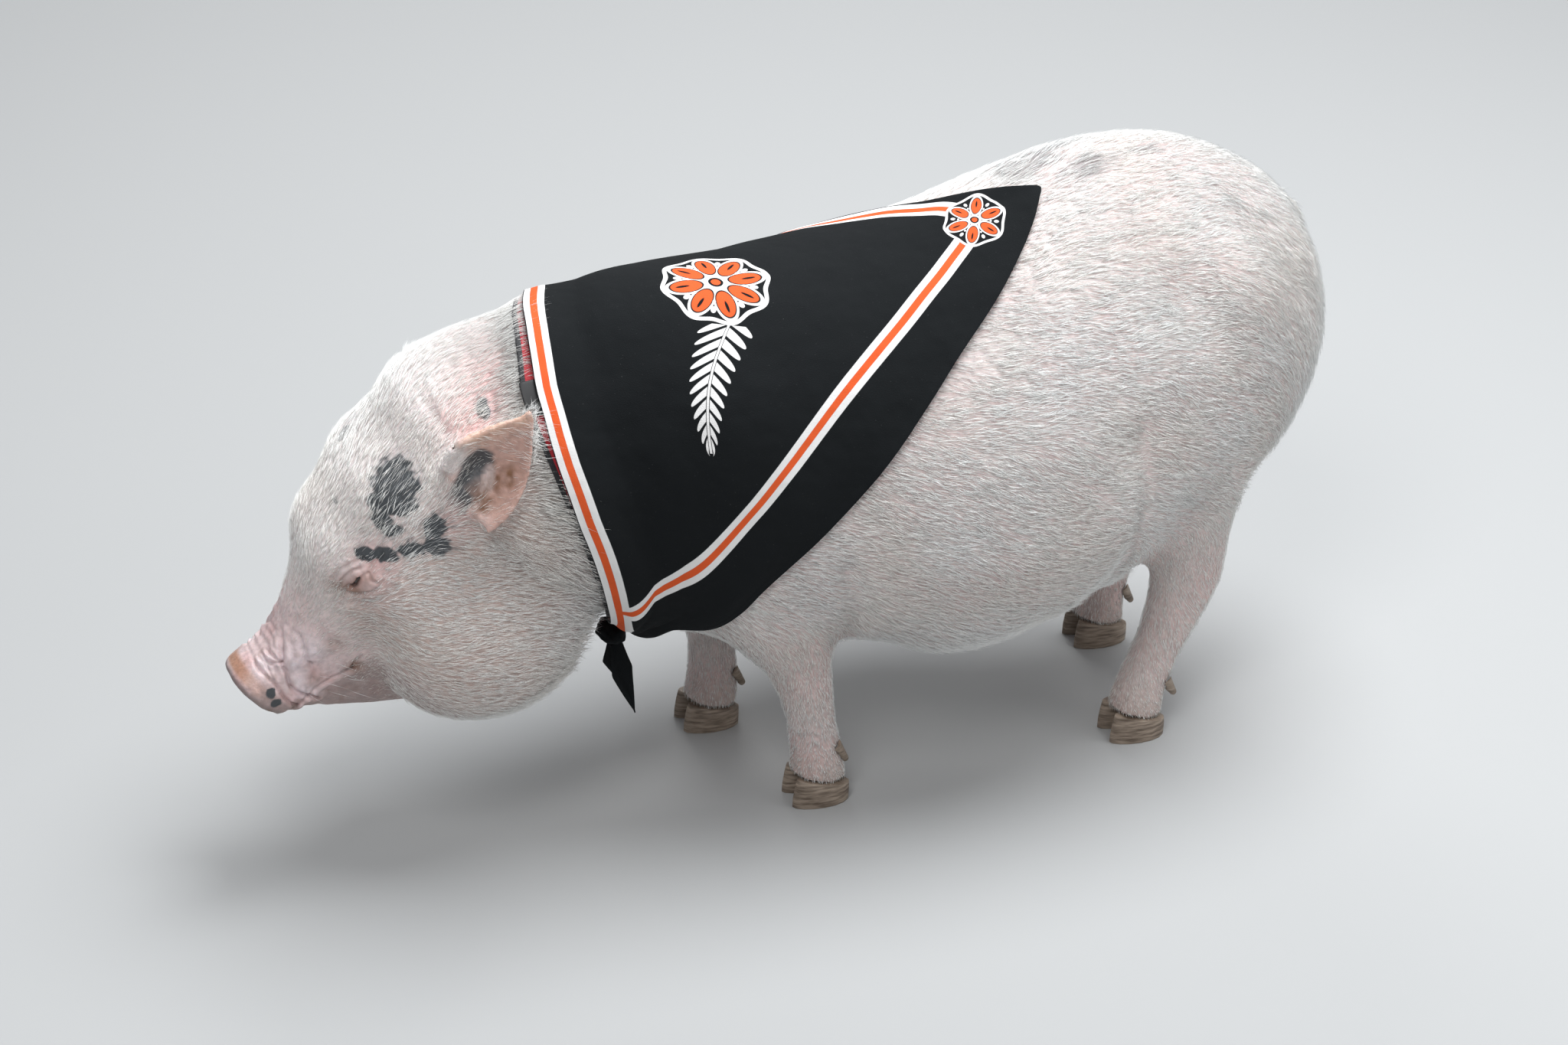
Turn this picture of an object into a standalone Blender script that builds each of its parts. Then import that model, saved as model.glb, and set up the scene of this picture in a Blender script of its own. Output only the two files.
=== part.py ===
"""A pot-bellied pig standing with its head low, in a neckerchief and a collar, at life size.

Metres. The animal faces -X, its left side is -Y, and the floor is z = 0.
Flesh is built whole from lofted lengths and rounded masses, and then parted by thin cuts.
"""

import math

import bmesh
import bpy
import numpy as np
from mathutils import Matrix, Vector
from mathutils.bvhtree import BVHTree

# Driving sizes
GAP = 0.0003  # between pieces that touch
VOXEL = 0.0032  # grain of the flesh before it is thinned
RING_POINTS = 36
TIE_RING_POINTS = 10
TAIL_RING_POINTS = 12
LOCK_SIDES = 4
LOCK_POINTS = 5
SLIVER = 0.000004  # shorter edges, which cuts leave behind, are closed up
LEFT, RIGHT = -1, 1  # side of the animal, as the sign of y

HEAD_TRIANGLES = 2700
BODY_TRIANGLES = 2700

# Torso: x, top, height of the widest line, bottom, half width
TORSO = [
    (-0.205, 0.420, 0.325, 0.235, 0.070),
    (-0.180, 0.456, 0.315, 0.195, 0.100),
    (-0.120, 0.468, 0.300, 0.160, 0.124),
    (-0.040, 0.466, 0.280, 0.140, 0.138),
    (0.040, 0.466, 0.265, 0.124, 0.156),
    (0.120, 0.478, 0.255, 0.113, 0.170),
    (0.195, 0.500, 0.260, 0.113, 0.168),
    (0.265, 0.516, 0.285, 0.134, 0.154),
    (0.335, 0.512, 0.310, 0.170, 0.138),
    (0.395, 0.487, 0.330, 0.205, 0.116),
    (0.435, 0.454, 0.345, 0.250, 0.088),
    (0.462, 0.407, 0.350, 0.300, 0.050),
]

# Neck: x and z of the middle, pitch in degrees, reach up, reach down, half width
NECK = [
    (-0.130, 0.325, 0, 0.125, 0.125, 0.100),
    (-0.185, 0.322, 10, 0.132, 0.130, 0.107),
    (-0.225, 0.315, 22, 0.132, 0.125, 0.104),
    (-0.262, 0.305, 32, 0.130, 0.115, 0.100),
]

# Head: distance back from the snout's face, reach up, reach down, half width
HEAD_FACE = (-0.453, 0.165)  # x and z of the middle of the snout's face
HEAD_PITCH = 43  # degrees that the head hangs
HEAD = [
    (0.000, 0.030, 0.031, 0.0310),
    (0.010, 0.034, 0.036, 0.0345),
    (0.020, 0.030, 0.048, 0.0300),
    (0.040, 0.026, 0.082, 0.0310),
    (0.065, 0.030, 0.112, 0.0370),
    (0.090, 0.040, 0.139, 0.0450),
    (0.115, 0.054, 0.150, 0.0560),
    (0.145, 0.070, 0.150, 0.0690),
    (0.185, 0.077, 0.154, 0.0810),
    (0.225, 0.081, 0.140, 0.0890),
    (0.265, 0.087, 0.122, 0.0930),
    (0.300, 0.088, 0.105, 0.0900),
]

# Legs: z, x, half length, distance of the middle from the animal's plane, half width
FORELEG = [
    (0.320, -0.080, 0.066, 0.080, 0.040),
    (0.250, -0.068, 0.070, 0.084, 0.046),
    (0.195, -0.047, 0.056, 0.081, 0.042),
    (0.155, -0.029, 0.043, 0.077, 0.034),
    (0.122, -0.014, 0.030, 0.073, 0.028),
    (0.090, -0.006, 0.0235, 0.071, 0.0235),
    (0.060, -0.001, 0.0220, 0.070, 0.0215),
    (0.035, 0.002, 0.0240, 0.070, 0.0235),
    (0.012, 0.002, 0.0255, 0.070, 0.0245),
    (-0.004, 0.002, 0.0250, 0.070, 0.0240),
]
HINDLEG = [
    (0.380, 0.342, 0.074, 0.068, 0.050),
    (0.310, 0.330, 0.068, 0.080, 0.054),
    (0.255, 0.323, 0.058, 0.083, 0.050),
    (0.205, 0.321, 0.048, 0.081, 0.041),
    (0.168, 0.328, 0.039, 0.079, 0.032),
    (0.138, 0.330, 0.035, 0.077, 0.0265),
    (0.100, 0.317, 0.0265, 0.076, 0.0235),
    (0.070, 0.304, 0.0230, 0.075, 0.0215),
    (0.040, 0.293, 0.0235, 0.075, 0.0230),
    (0.012, 0.288, 0.0255, 0.075, 0.0245),
    (-0.004, 0.288, 0.0250, 0.075, 0.0240),
]
LEGS = {
    "leg_front_left": {"stations": FORELEG, "side": LEFT, "stride": 0.0, "root": 0.235},
    "leg_front_right": {"stations": FORELEG, "side": RIGHT, "stride": -0.047, "root": 0.235},
    "leg_hind_left": {"stations": HINDLEG, "side": LEFT, "stride": 0.0, "root": 0.285},
    "leg_hind_right": {"stations": HINDLEG, "side": RIGHT, "stride": 0.037, "root": 0.285},
}
STRIDE_HEIGHT = 0.30  # above this a leg isn't moved by its stride
LEG_CUT_MARGIN = 0.007  # how far a leg's cutter stands off the leg

# Rounded masses on both sides: x, y out from the middle, z, and the three radii
MASSES = {
    "shoulder": (-0.075, 0.080, 0.315, 0.085, 0.050, 0.110),
    "ham": (0.341, 0.062, 0.366, 0.085, 0.070, 0.104),
    "belly": (0.125, 0.060, 0.235, 0.128, 0.100, 0.116),
    "jowl": (-0.274, 0.047, 0.214, 0.090, 0.057, 0.086),
    "cheek": (-0.325, 0.042, 0.270, 0.058, 0.042, 0.056),
    "temple": (-0.325, 0.030, 0.333, 0.050, 0.045, 0.046),
    "brow": (-0.369, 0.032, 0.291, 0.040, 0.027, 0.034),
    "throat": (-0.262, 0.014, 0.215, 0.080, 0.040, 0.080),
}

# Planes that part the body: a point on each in x and z, and its lean back from upright in degrees
HEAD_PLANE = (-0.213, 0.310, -18)
NECK_PLANE = (-0.162, 0.300, -6)
SNOUT_BACK = 0.016  # depth of the snout's disc

# The left eye, mouth and nostrils, in distances back from the snout's face and up from the head's axis
EYE_RADIUS = 0.0105
LID = 0.0024  # thickness of the lids
EYE_DEPTH = 0.0135  # of the ball's middle under the skin before the lids are raised
EYE_AT = (0.136, 0.031)
SLIT = (0.0085, 0.0026, 0.0060)  # half length, half height and half depth of the opening between the lids
MOUTH = [(0.008, -0.030), (0.022, -0.026), (0.040, -0.026), (0.060, -0.032), (0.078, -0.039)]
NOSTRIL_AT = (0.004, 0.0125)  # up from the disc's middle, and out
NOSTRIL = (0.0040, 0.0062, 0.0110)  # half width, half height and depth
SNOUT_FOLDS = [0.021, 0.030, 0.041]

# Ears: base, tips and the line across the base, all as on the left side, and their sizes
EAR_BASES = {LEFT: (-0.280, -0.088, 0.366), RIGHT: (-0.272, -0.093, 0.350)}
EAR_TIPS = {LEFT: (-0.240, -0.097, 0.4175), RIGHT: (-0.236, -0.123, 0.378)}  # the right one is laid lower
EAR_ACROSS = (-0.458, 0.356, 0.814)
EAR_HALF_WIDTH = 0.041
EAR_SINK = 0.18  # how far the middle of the ear lies inward, as a share of its half width
EAR_ROOT = 0.30  # share of the length that is carried on into the head before it is cut
EAR_THICK_BASE, EAR_THICK_TIP = 0.0042, 0.0026
EAR_CURL_BASE, EAR_CURL_TIP = 0.95, 0.30  # radians that each side curls round

# Tail: y, z, how far its middle stands off the rump, and its radius
TAIL = [
    (0.010, 0.432, -0.016, 0.0130),
    (0.020, 0.418, -0.003, 0.0118),
    (0.033, 0.398, 0.005, 0.0102),
    (0.046, 0.366, 0.009, 0.0086),
    (0.056, 0.334, 0.010, 0.0075),
    (0.062, 0.304, 0.011, 0.0064),
    (0.065, 0.276, 0.013, 0.0052),
    (0.066, 0.256, 0.014, 0.0025),
]

# Locks: of the low crest from the forehead to the collar, and of the tail's switch
CREST_FROM, CREST_TO = 0.150, 0.315  # back along the head
CREST_ROWS = [(-0.017, 7), (0.0, 8), (0.017, 7)]  # side place and count
CREST_LOCK = (0.034, 0.0085, 0.0017, 0.0055)  # length, width, thickness and how far the tip stands off
SWITCH_COUNT = 11
SWITCH_LOCK = (0.062, 0.0075, 0.0022)
LOCK_SINK = 0.005

# Hooves
CORONET_FRONT, CORONET_HEEL = 0.027, 0.016  # height of the top of the hoof
CLAW_LENGTH, CLAW_WIDTH = 0.0495, 0.0226
CLAW_SPACING = 0.0122  # from the middle of the foot to the middle of a claw
DEWCLAW_LENGTH, DEWCLAW_RADIUS = 0.021, 0.0062
DEWCLAW_HEIGHT, DEWCLAW_OUT = 0.050, 0.0115

# Neckerchief: the angle round the neck from the top, left below zero, and x of its edges there
# Both edges sit further back on the right side, and the rear edge has its corner left of the middle.
WRAP_HEIGHT = 0.320  # height of the line that the angles turn about
CLOTH_FRONT = [
    (-172, -0.160), (-158, -0.168), (-134, -0.183), (-120, -0.191), (-102, -0.202), (-89, -0.211), (-75, -0.218),
    (-63, -0.224), (-53, -0.227), (-34, -0.230), (-17, -0.225), (0, -0.2165), (10, -0.208), (20, -0.1995),
    (32, -0.194), (50, -0.193), (80, -0.196), (103, -0.195), (131, -0.184), (158, -0.168), (172, -0.160),
]
CLOTH_REAR_LEFT = [
    (-172, -0.142), (-149, -0.124), (-119, -0.064), (-83, 0.025), (-52, 0.099), (-36, 0.146), (-22, 0.182),
]
CLOTH_REAR_TIP = [(-14, 0.201), (-9, 0.206), (-5, 0.186), (1, 0.149), (7, 0.122), (13, 0.096)]
CLOTH_REAR_RIGHT = [(30, 0.042), (52, -0.016), (80, -0.071), (110, -0.110), (149, -0.138), (172, -0.144)]
CLOTH_THICK = 0.0018
CLOTH_EASE = 0.030  # length over which the cloth comes down from its front edge and from the collar
CLOTH_OFF = 0.0042  # above the body
CLOTH_OFF_FRONT, CLOTH_OFF_CREST = 0.0040, 0.0050  # more than that at the front edge and over the crest
KNOT_AT = (-0.152, -0.004, 0.1515)
KNOT_SIZE = (0.015, 0.021, 0.0115)
TIES = {
    "neckerchief_tie_left": [(-0.150, -0.010, 0.145), (-0.147, -0.016, 0.118), (-0.139, -0.022, 0.083)],
    "neckerchief_tie_right": [(-0.149, 0.000, 0.145), (-0.146, 0.012, 0.119), (-0.140, 0.018, 0.092)],
}
TIE_WIDTH = 0.021

# Collar
COLLAR_WIDTH, COLLAR_THICK, COLLAR_OFF = 0.019, 0.0018, 0.0024
COLLAR_LINE = [
    (-180, -0.146), (-131, -0.178), (-80, -0.209), (-59, -0.220), (-45, -0.227), (-31, -0.229), (-17, -0.2235),
    (0, -0.215), (10, -0.2065), (20, -0.198), (32, -0.193), (50, -0.192), (80, -0.194), (131, -0.178), (180, -0.146),
]
SLIDE = (30, 43)  # angles round the neck where the collar's slide begins and ends

# Colour and roughness of each object, by the first words of its name
FINISHES = {
    "snout": ((0.66, 0.36, 0.30), 0.45),
    "ear": ((0.70, 0.50, 0.43), 0.65),
    "claw": ((0.20, 0.15, 0.11), 0.45),
    "dewclaw": ((0.24, 0.18, 0.13), 0.50),
    "eye": ((0.02, 0.012, 0.008), 0.08),
    "collar_slide": ((0.015, 0.015, 0.017), 0.35),
    "collar": ((0.42, 0.02, 0.03), 0.60),
    "neckerchief": ((0.011, 0.012, 0.015), 0.90),
}
SKIN = ((0.74, 0.58, 0.52), 0.70)
SMOOTH_ANGLE = math.radians(40)  # edges sharper than this stay crisp


def start_scene():
    """Removes what the scene holds and makes the collections for the pig, its cutters and its locks."""
    for old in list(bpy.data.objects):
        bpy.data.objects.remove(old)
    made = []
    for name in ("pig", "cutters", "locks"):
        collection = bpy.data.collections.new(name)
        bpy.context.scene.collection.children.link(collection)
        made.append(collection)
    return made


def material(name, colour, roughness):
    made = bpy.data.materials.new(name)
    made.use_nodes = True
    shader = made.node_tree.nodes["Principled BSDF"]
    shader.inputs["Base Color"].default_value = (*colour, 1.0)
    shader.inputs["Roughness"].default_value = roughness
    shader.inputs["Metallic"].default_value = 0.0
    return made


def through(rows, steps):
    """Rows of numbers on a smooth line through the given rows, with that many steps in each gap."""
    rows = np.array(rows, float)
    ends = np.vstack([2 * rows[0] - rows[1], rows, 2 * rows[-1] - rows[-2]])
    out = []
    for a, b, c, d in zip(ends, ends[1:], ends[2:], ends[3:]):
        for t in np.arange(steps) / steps:
            bend = 2 * b + (c - a) * t + (2 * a - 5 * b + 4 * c - d) * t**2
            out.append((bend + (3 * b - a - 3 * c + d) * t**3) / 2)
    return np.array(out + [rows[-1]])


def mesh_object(name, bm, collection):
    mesh = bpy.data.meshes.new(name)
    bm.to_mesh(mesh)
    bm.free()
    made = bpy.data.objects.new(name, mesh)
    collection.objects.link(made)
    return made


def loft(name, rings, collection, count=RING_POINTS):
    """A closed solid through rings. A ring is its middle, side and up vectors, and reach to the side, up and down."""
    bm = bmesh.new()
    loops = []
    for middle, side, up, wide, high, low in rings:
        loop = []
        for k in range(count):
            turn = 2 * math.pi * k / count
            rise = math.sin(turn)
            reach = side * (wide * math.cos(turn)) + up * (rise * (high if rise > 0 else low))
            loop.append(bm.verts.new(middle + reach))
        loops.append(loop)
    for first, second in zip(loops, loops[1:]):
        for k in range(count):
            n = (k + 1) % count
            bm.faces.new((first[k], first[n], second[n], second[k]))
    bm.faces.new(loops[0])
    bm.faces.new(loops[-1])
    bmesh.ops.recalc_face_normals(bm, faces=bm.faces)
    return mesh_object(name, bm, collection)


def torso_rings():
    for x, top, widest, bottom, wide in through(TORSO, 4):
        yield Vector((x, 0, widest)), Vector((0, 1, 0)), Vector((0, 0, 1)), wide, top - widest, widest - bottom


def pitched_rings(stations):
    for x, z, pitch, high, low, wide in through(stations, 4):
        a = math.radians(pitch)
        yield Vector((x, 0, z)), Vector((0, 1, 0)), Vector((-math.sin(a), 0, math.cos(a))), wide, high, low


def head_point(back, rise, out=0.0):
    """A point of the head: back from the snout's face, up from the head's axis and out to the side."""
    a = math.radians(HEAD_PITCH)
    return Vector((
        HEAD_FACE[0] + back * math.cos(a) - rise * math.sin(a),
        out,
        HEAD_FACE[1] + back * math.sin(a) + rise * math.cos(a),
    ))


def head_rings():
    up = head_point(0, 1) - head_point(0, 0)
    for back, high, low, wide in through(HEAD, 3):
        yield head_point(back, 0), Vector((0, 1, 0)), up, wide, high, low


def leg_rings(stations, side, stride, swell=0.0, smooth=True):
    """Level rings of a leg, swollen all round by that much."""
    for z, x, long, out, wide in through(stations, 3) if smooth else stations:
        x += stride * max(0.0, 1 - max(z, 0.0) / STRIDE_HEIGHT)
        reach = long + swell
        yield Vector((x, side * out, z)), Vector((0, 1, 0)), Vector((1, 0, 0)), wide + swell, reach, reach


def ball(name, centre, radii, collection, segments=32, tilt=0.0):
    bpy.ops.mesh.primitive_uv_sphere_add(segments=segments, ring_count=segments // 2, radius=1.0)
    made = bpy.context.object
    made.name = name
    made.data.transform(
        Matrix.Translation(centre) @ Matrix.Rotation(tilt, 4, "Y") @ Matrix.Diagonal((*radii, 1.0))
    )
    for holder in list(made.users_collection):
        holder.objects.unlink(made)
    collection.objects.link(made)
    return made


def apply_modifiers(obj):
    graph = bpy.context.evaluated_depsgraph_get()
    mesh = bpy.data.meshes.new_from_object(obj.evaluated_get(graph))
    obj.modifiers.clear()
    obj.data = mesh


def joined(name, objects):
    """One object that holds the meshes of several, which are removed."""
    bm = bmesh.new()
    for obj in objects:
        bm.from_mesh(obj.data)
    collection = objects[0].users_collection[0]
    for obj in objects:
        bpy.data.objects.remove(obj)
    return mesh_object(name, bm, collection)


def flesh(collection):
    """The whole animal without ears, hooves and tail, as one fine smooth skin."""
    lengths = [
        loft("torso_mass", list(torso_rings()), collection),
        loft("neck_mass", list(pitched_rings(NECK)), collection),
        loft("head_mass", list(head_rings()), collection),
    ]
    for name, leg in LEGS.items():
        rings = list(leg_rings(leg["stations"], leg["side"], leg["stride"]))
        lengths.append(loft(name + "_mass", rings, collection))
    for name, (x, out, z, *radii) in MASSES.items():
        for side in (LEFT, RIGHT):
            lengths.append(ball(name, (x, side * out, z), radii, collection))
    whole = joined("whole", lengths)
    remesh = whole.modifiers.new("one skin", "REMESH")
    remesh.mode = "VOXEL"
    remesh.voxel_size = VOXEL
    smooth = whole.modifiers.new("blend", "SMOOTH")
    smooth.factor = 0.5
    smooth.iterations = 24
    apply_modifiers(whole)
    points = np.array([vert.co for vert in whole.data.vertices])
    back, _, _ = head_frame(points)
    soft = np.clip((back - 0.070) / 0.030, 0, 1) * np.clip((0.02 - points[:, 0]) / 0.06, 0, 1)
    group = whole.vertex_groups.new(name="cheeks and neck")
    for index in np.flatnonzero(soft * (points[:, 2] > 0.12)):
        group.add([int(index)], float(soft[index]), "REPLACE")
    smooth = whole.modifiers.new("blend the cheeks", "SMOOTH")
    smooth.vertex_group = group.name
    smooth.factor = 0.6
    smooth.iterations = 110
    apply_modifiers(whole)
    whole.vertex_groups.clear()
    return whole


def head_frame(points):
    """Back, rise and side distances in the head's own frame for rows of x, y and z."""
    a = math.radians(HEAD_PITCH)
    dx = points[:, 0] - HEAD_FACE[0]
    dz = points[:, 2] - HEAD_FACE[1]
    return dx * math.cos(a) + dz * math.sin(a), dz * math.cos(a) - dx * math.sin(a), np.abs(points[:, 1])


def lean_plane(x, z, lean):
    a = math.radians(lean)
    return Vector((x, 0, z)), Vector((math.cos(a), 0, -math.sin(a)))


def cut_away(obj, point, normal, shift=0.0):
    """Removes what lies on the normal's side of a plane, which is moved along its normal first, and caps the rest."""
    bm = bmesh.new()
    bm.from_mesh(obj.data)
    geometry = bm.verts[:] + bm.edges[:] + bm.faces[:]
    bmesh.ops.bisect_plane(
        bm, geom=geometry, dist=1e-7, plane_co=point + normal * shift, plane_no=normal, clear_outer=True
    )
    bmesh.ops.holes_fill(bm, edges=[edge for edge in bm.edges if edge.is_boundary])
    bmesh.ops.triangulate(bm, faces=[face for face in bm.faces if len(face.verts) > 4])
    bm.to_mesh(obj.data)
    bm.free()


def parted(obj, name, point, normal):
    """Cuts an object in two with the gap between, and returns the new object on the normal's side."""
    other = copied(obj, name)
    cut_away(obj, point, normal, -GAP / 2)
    cut_away(other, point, -normal, -GAP / 2)
    return other


def copied(obj, name):
    made = bpy.data.objects.new(name, obj.data.copy())
    obj.users_collection[0].objects.link(made)
    return made


def thinned(obj, triangles):
    triangulate = obj.modifiers.new("triangles", "TRIANGULATE")
    triangulate.quad_method = "SHORTEST_DIAGONAL"
    apply_modifiers(obj)
    decimate = obj.modifiers.new("thinned", "DECIMATE")
    decimate.ratio = triangles / len(obj.data.polygons)
    apply_modifiers(obj)


def boolean(obj, cutter, operation="DIFFERENCE"):
    cut = obj.modifiers.new("cut", "BOOLEAN")
    cut.operation = operation
    cut.solver = "MANIFOLD"
    cut.object = cutter
    apply_modifiers(obj)
    bm = bmesh.new()
    bm.from_mesh(obj.data)
    bmesh.ops.triangulate(bm, faces=bm.faces)
    bmesh.ops.dissolve_degenerate(bm, dist=SLIVER, edges=bm.edges)
    bm.to_mesh(obj.data)
    bm.free()


def put_away(cutter, collection):
    """Keeps a cutter as a hidden guide."""
    for holder in list(cutter.users_collection):
        holder.objects.unlink(cutter)
    collection.objects.link(cutter)
    cutter.hide_render = True
    cutter.display_type = "WIRE"


def swollen(obj, name, distance):
    """A copy pushed out along its normals."""
    made = copied(obj, name)
    push = made.modifiers.new("swell", "DISPLACE")
    push.strength = distance
    push.mid_level = 0.0
    apply_modifiers(made)
    return made


def largest_body(obj):
    """Leaves only the largest closed surface of an object."""
    bm = bmesh.new()
    bm.from_mesh(obj.data)
    left = set(bm.verts)
    bodies = []
    while left:
        body = {left.pop()}
        edge_of = list(body)
        while edge_of:
            vert = edge_of.pop()
            for edge in vert.link_edges:
                other = edge.other_vert(vert)
                if other in left:
                    left.remove(other)
                    body.add(other)
                    edge_of.append(other)
        bodies.append(body)
    bodies.sort(key=len)
    for body in bodies[:-1]:
        bmesh.ops.delete(bm, geom=list(body), context="VERTS")
    bm.to_mesh(obj.data)
    bm.free()


def tree_of(obj):
    bpy.context.view_layer.update()
    return BVHTree.FromObject(obj, bpy.context.evaluated_depsgraph_get())


def on_head(tree, back, rise, side):
    """The point of the head's side at a place of its own frame, and the direction that it faces."""
    start = head_point(back, rise, side * 0.3)
    place, normal, *_ = tree.ray_cast(start, Vector((0, -side, 0)))
    return place, normal


def distance_to(points, line):
    """Distance of each row of points from a line through the given points."""
    best = np.full(len(points), np.inf)
    for a, b in zip(line, line[1:]):
        run = b - a
        t = np.clip((points - a) @ run / (run @ run), 0, 1)
        best = np.minimum(best, np.linalg.norm(points - a - t[:, None] * run, axis=1))
    return best


def slit_line():
    """The direction that the opening between the lids runs in, which is level across the bent head."""
    return (head_point(1, -0.35) - head_point(0, 0)).normalized()


def eye_places(tree):
    """The middle of each eyeball and the direction that it looks in."""
    places = []
    for side in (LEFT, RIGHT):
        place, facing = on_head(tree, *EYE_AT, side)
        places.append((place - facing * EYE_DEPTH, facing))
    return places


def shape_face(head, eyes):
    """Lids, lips, the line of the mouth and the folds behind the snout's disc, as moves of a fine mesh."""
    tree = tree_of(head)
    mesh = head.data
    points = np.empty(len(mesh.vertices) * 3)
    mesh.vertices.foreach_get("co", points)
    points = points.reshape(-1, 3)
    normals = np.empty(len(mesh.vertices) * 3)
    mesh.vertex_normals.foreach_get("vector", normals)
    normals = normals.reshape(-1, 3)
    back, rise, _ = head_frame(points)
    push = np.zeros(len(points))
    for fold in SNOUT_FOLDS:
        across = back - fold - 0.10 * rise
        reach = np.clip((rise + 0.018) / 0.012, 0, 1)
        push -= 0.0011 * reach * np.exp(-((across / 0.0024) ** 2))
    for side in (LEFT, RIGHT):
        line = [on_head(tree, b, r, side)[0] for b, r in through(MOUTH, 4)]
        near = distance_to(points, [np.array(p) for p in line])
        push -= 0.0042 * np.exp(-((near / 0.0022) ** 2))
        push += 0.0020 * np.exp(-(((near - 0.0060) / 0.0035) ** 2))
    along = np.array(slit_line())
    for centre, facing in eyes:
        offset = points - np.array(centre + facing * EYE_DEPTH)
        run = offset @ along
        off = np.linalg.norm(offset - run[:, None] * along, axis=1)
        push -= 0.0055 * np.exp(-((np.linalg.norm(offset, axis=1) / 0.024) ** 2))
        brow = np.sqrt(((run - 0.002) / 1.8) ** 2 + (off - 0.0195) ** 2)
        push += 0.0022 * np.exp(-((brow / 0.007) ** 2)) * (rise > EYE_AT[1])
    points += normals * push[:, None]
    for centre, facing in eyes:
        offset = points - np.array(centre)
        away = np.linalg.norm(offset, axis=1)
        lidded = (away < 0.0260) & (offset @ np.array(facing) > 0)
        lift = EYE_RADIUS + LID - away
        lift = np.where(lidded, np.log1p(np.exp(lift / 0.0018)) * 0.0018, 0.0)
        points += offset / np.maximum(away, 0.001)[:, None] * lift[:, None]
    mesh.vertices.foreach_set("co", points.ravel())
    mesh.update()


def make_head(whole, pig, cutters):
    """The head with its eyes, and the snout's disc parted from it."""
    point, normal = lean_plane(*HEAD_PLANE)
    head = copied(whole, "head")
    cut_away(head, point, normal, VOXEL * 3)
    finer = head.modifiers.new("finer", "SUBSURF")
    finer.levels = finer.render_levels = 1
    apply_modifiers(head)
    eyes = eye_places(tree_of(head))
    shape_face(head, eyes)
    thinned(head, HEAD_TRIANGLES)
    cut_away(head, point, normal, -GAP / 2)
    for name, (centre, facing) in zip(("eye_left", "eye_right"), eyes):
        ball(name, centre, (EYE_RADIUS,) * 3, pig, segments=14)
        socket = ball(name + "_socket", centre, (EYE_RADIUS + GAP,) * 3, cutters, segments=14)
        slit = ball(name + "_slit", (0, 0, 0), SLIT, cutters, segments=12)
        across = facing.cross(slit_line()).normalized()
        turn = Matrix((across.cross(facing), across, facing)).transposed().to_4x4()
        slit.data.transform(Matrix.Translation(centre + facing * (EYE_RADIUS + LID)) @ turn)
        for cutter in (slit, socket):
            boolean(head, cutter)
            put_away(cutter, cutters)
    for side in (LEFT, RIGHT):
        rise, out = NOSTRIL_AT
        nostril = ball("nostril", (0, 0, 0), (NOSTRIL[2], NOSTRIL[0], NOSTRIL[1]), cutters, segments=12)
        pitch = Matrix.Rotation(-math.radians(HEAD_PITCH), 4, "Y")
        nostril.data.transform(Matrix.Translation(head_point(-0.002, rise, side * out)) @ pitch)
        boolean(head, nostril)
        put_away(nostril, cutters)
    front = head_point(SNOUT_BACK, 0)
    forward = head_point(-1, 0) - head_point(0, 0)
    snout = parted(head, "snout", front, forward)
    for part in (head, snout):
        largest_body(part)
    return head, snout


def make_body(whole, pig, cutters):
    """Neck, torso and legs, parted from one thinned copy of the flesh."""
    torso = copied(whole, "torso")
    thinned(torso, BODY_TRIANGLES)
    point, normal = lean_plane(*HEAD_PLANE)
    cut_away(torso, point, -normal, -GAP / 2)
    for name, leg in LEGS.items():
        make_leg(name, leg, torso, cutters)
    point, normal = lean_plane(*NECK_PLANE)
    neck = parted(torso, "neck", point, -normal)
    for part in (torso, neck):
        largest_body(part)
    return torso, neck


def make_leg(name, leg, torso, cutters):
    """Cuts a leg out of the torso, and its foot off at the top of the hoof."""
    made = copied(torso, name)
    for swell, obj, operation in ((LEG_CUT_MARGIN, made, "INTERSECT"), (LEG_CUT_MARGIN + GAP, torso, "DIFFERENCE")):
        root = leg["root"] + (GAP if operation == "DIFFERENCE" else 0.0)
        below = [row for row in through(leg["stations"], 3) if row[0] < root]
        first = below[0].copy()
        first[0] = root
        last = below[-1].copy()
        last[0] -= 0.03
        rings = list(leg_rings([first, *below, last], leg["side"], leg["stride"], swell=swell, smooth=False))
        cutter = loft(name + "_cutter", rings, cutters)
        boolean(obj, cutter, operation)
        put_away(cutter, cutters)
    x, side = foot_place(leg)
    slope = math.atan2(CORONET_FRONT - CORONET_HEEL, CLAW_LENGTH)
    point = Vector((x, 0, (CORONET_FRONT + CORONET_HEEL) / 2))
    cut_away(made, point, Vector((-math.sin(slope), 0, -math.cos(slope))), -GAP / 2)
    largest_body(made)
    make_claws(name, leg, made)


def foot_place(leg):
    """x and y of the middle of a foot on the floor."""
    z, x, _, out, _ = leg["stations"][-2]
    return x + leg["stride"] * (1 - z / STRIDE_HEIGHT), leg["side"] * out


def claw_outline(length, width, inner):
    """A claw's level outline: blunt in front, full at the heel, flatter on the side towards its twin."""
    points = []
    count = 16
    for k in range(count):
        turn = 2 * math.pi * k / count
        along = -math.cos(turn)
        across = math.sin(turn) * (1 + 0.16 * along)
        if across * inner > 0:
            across *= 0.86
        points.append((along * length / 2, across * width / 2))
    return points


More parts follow.
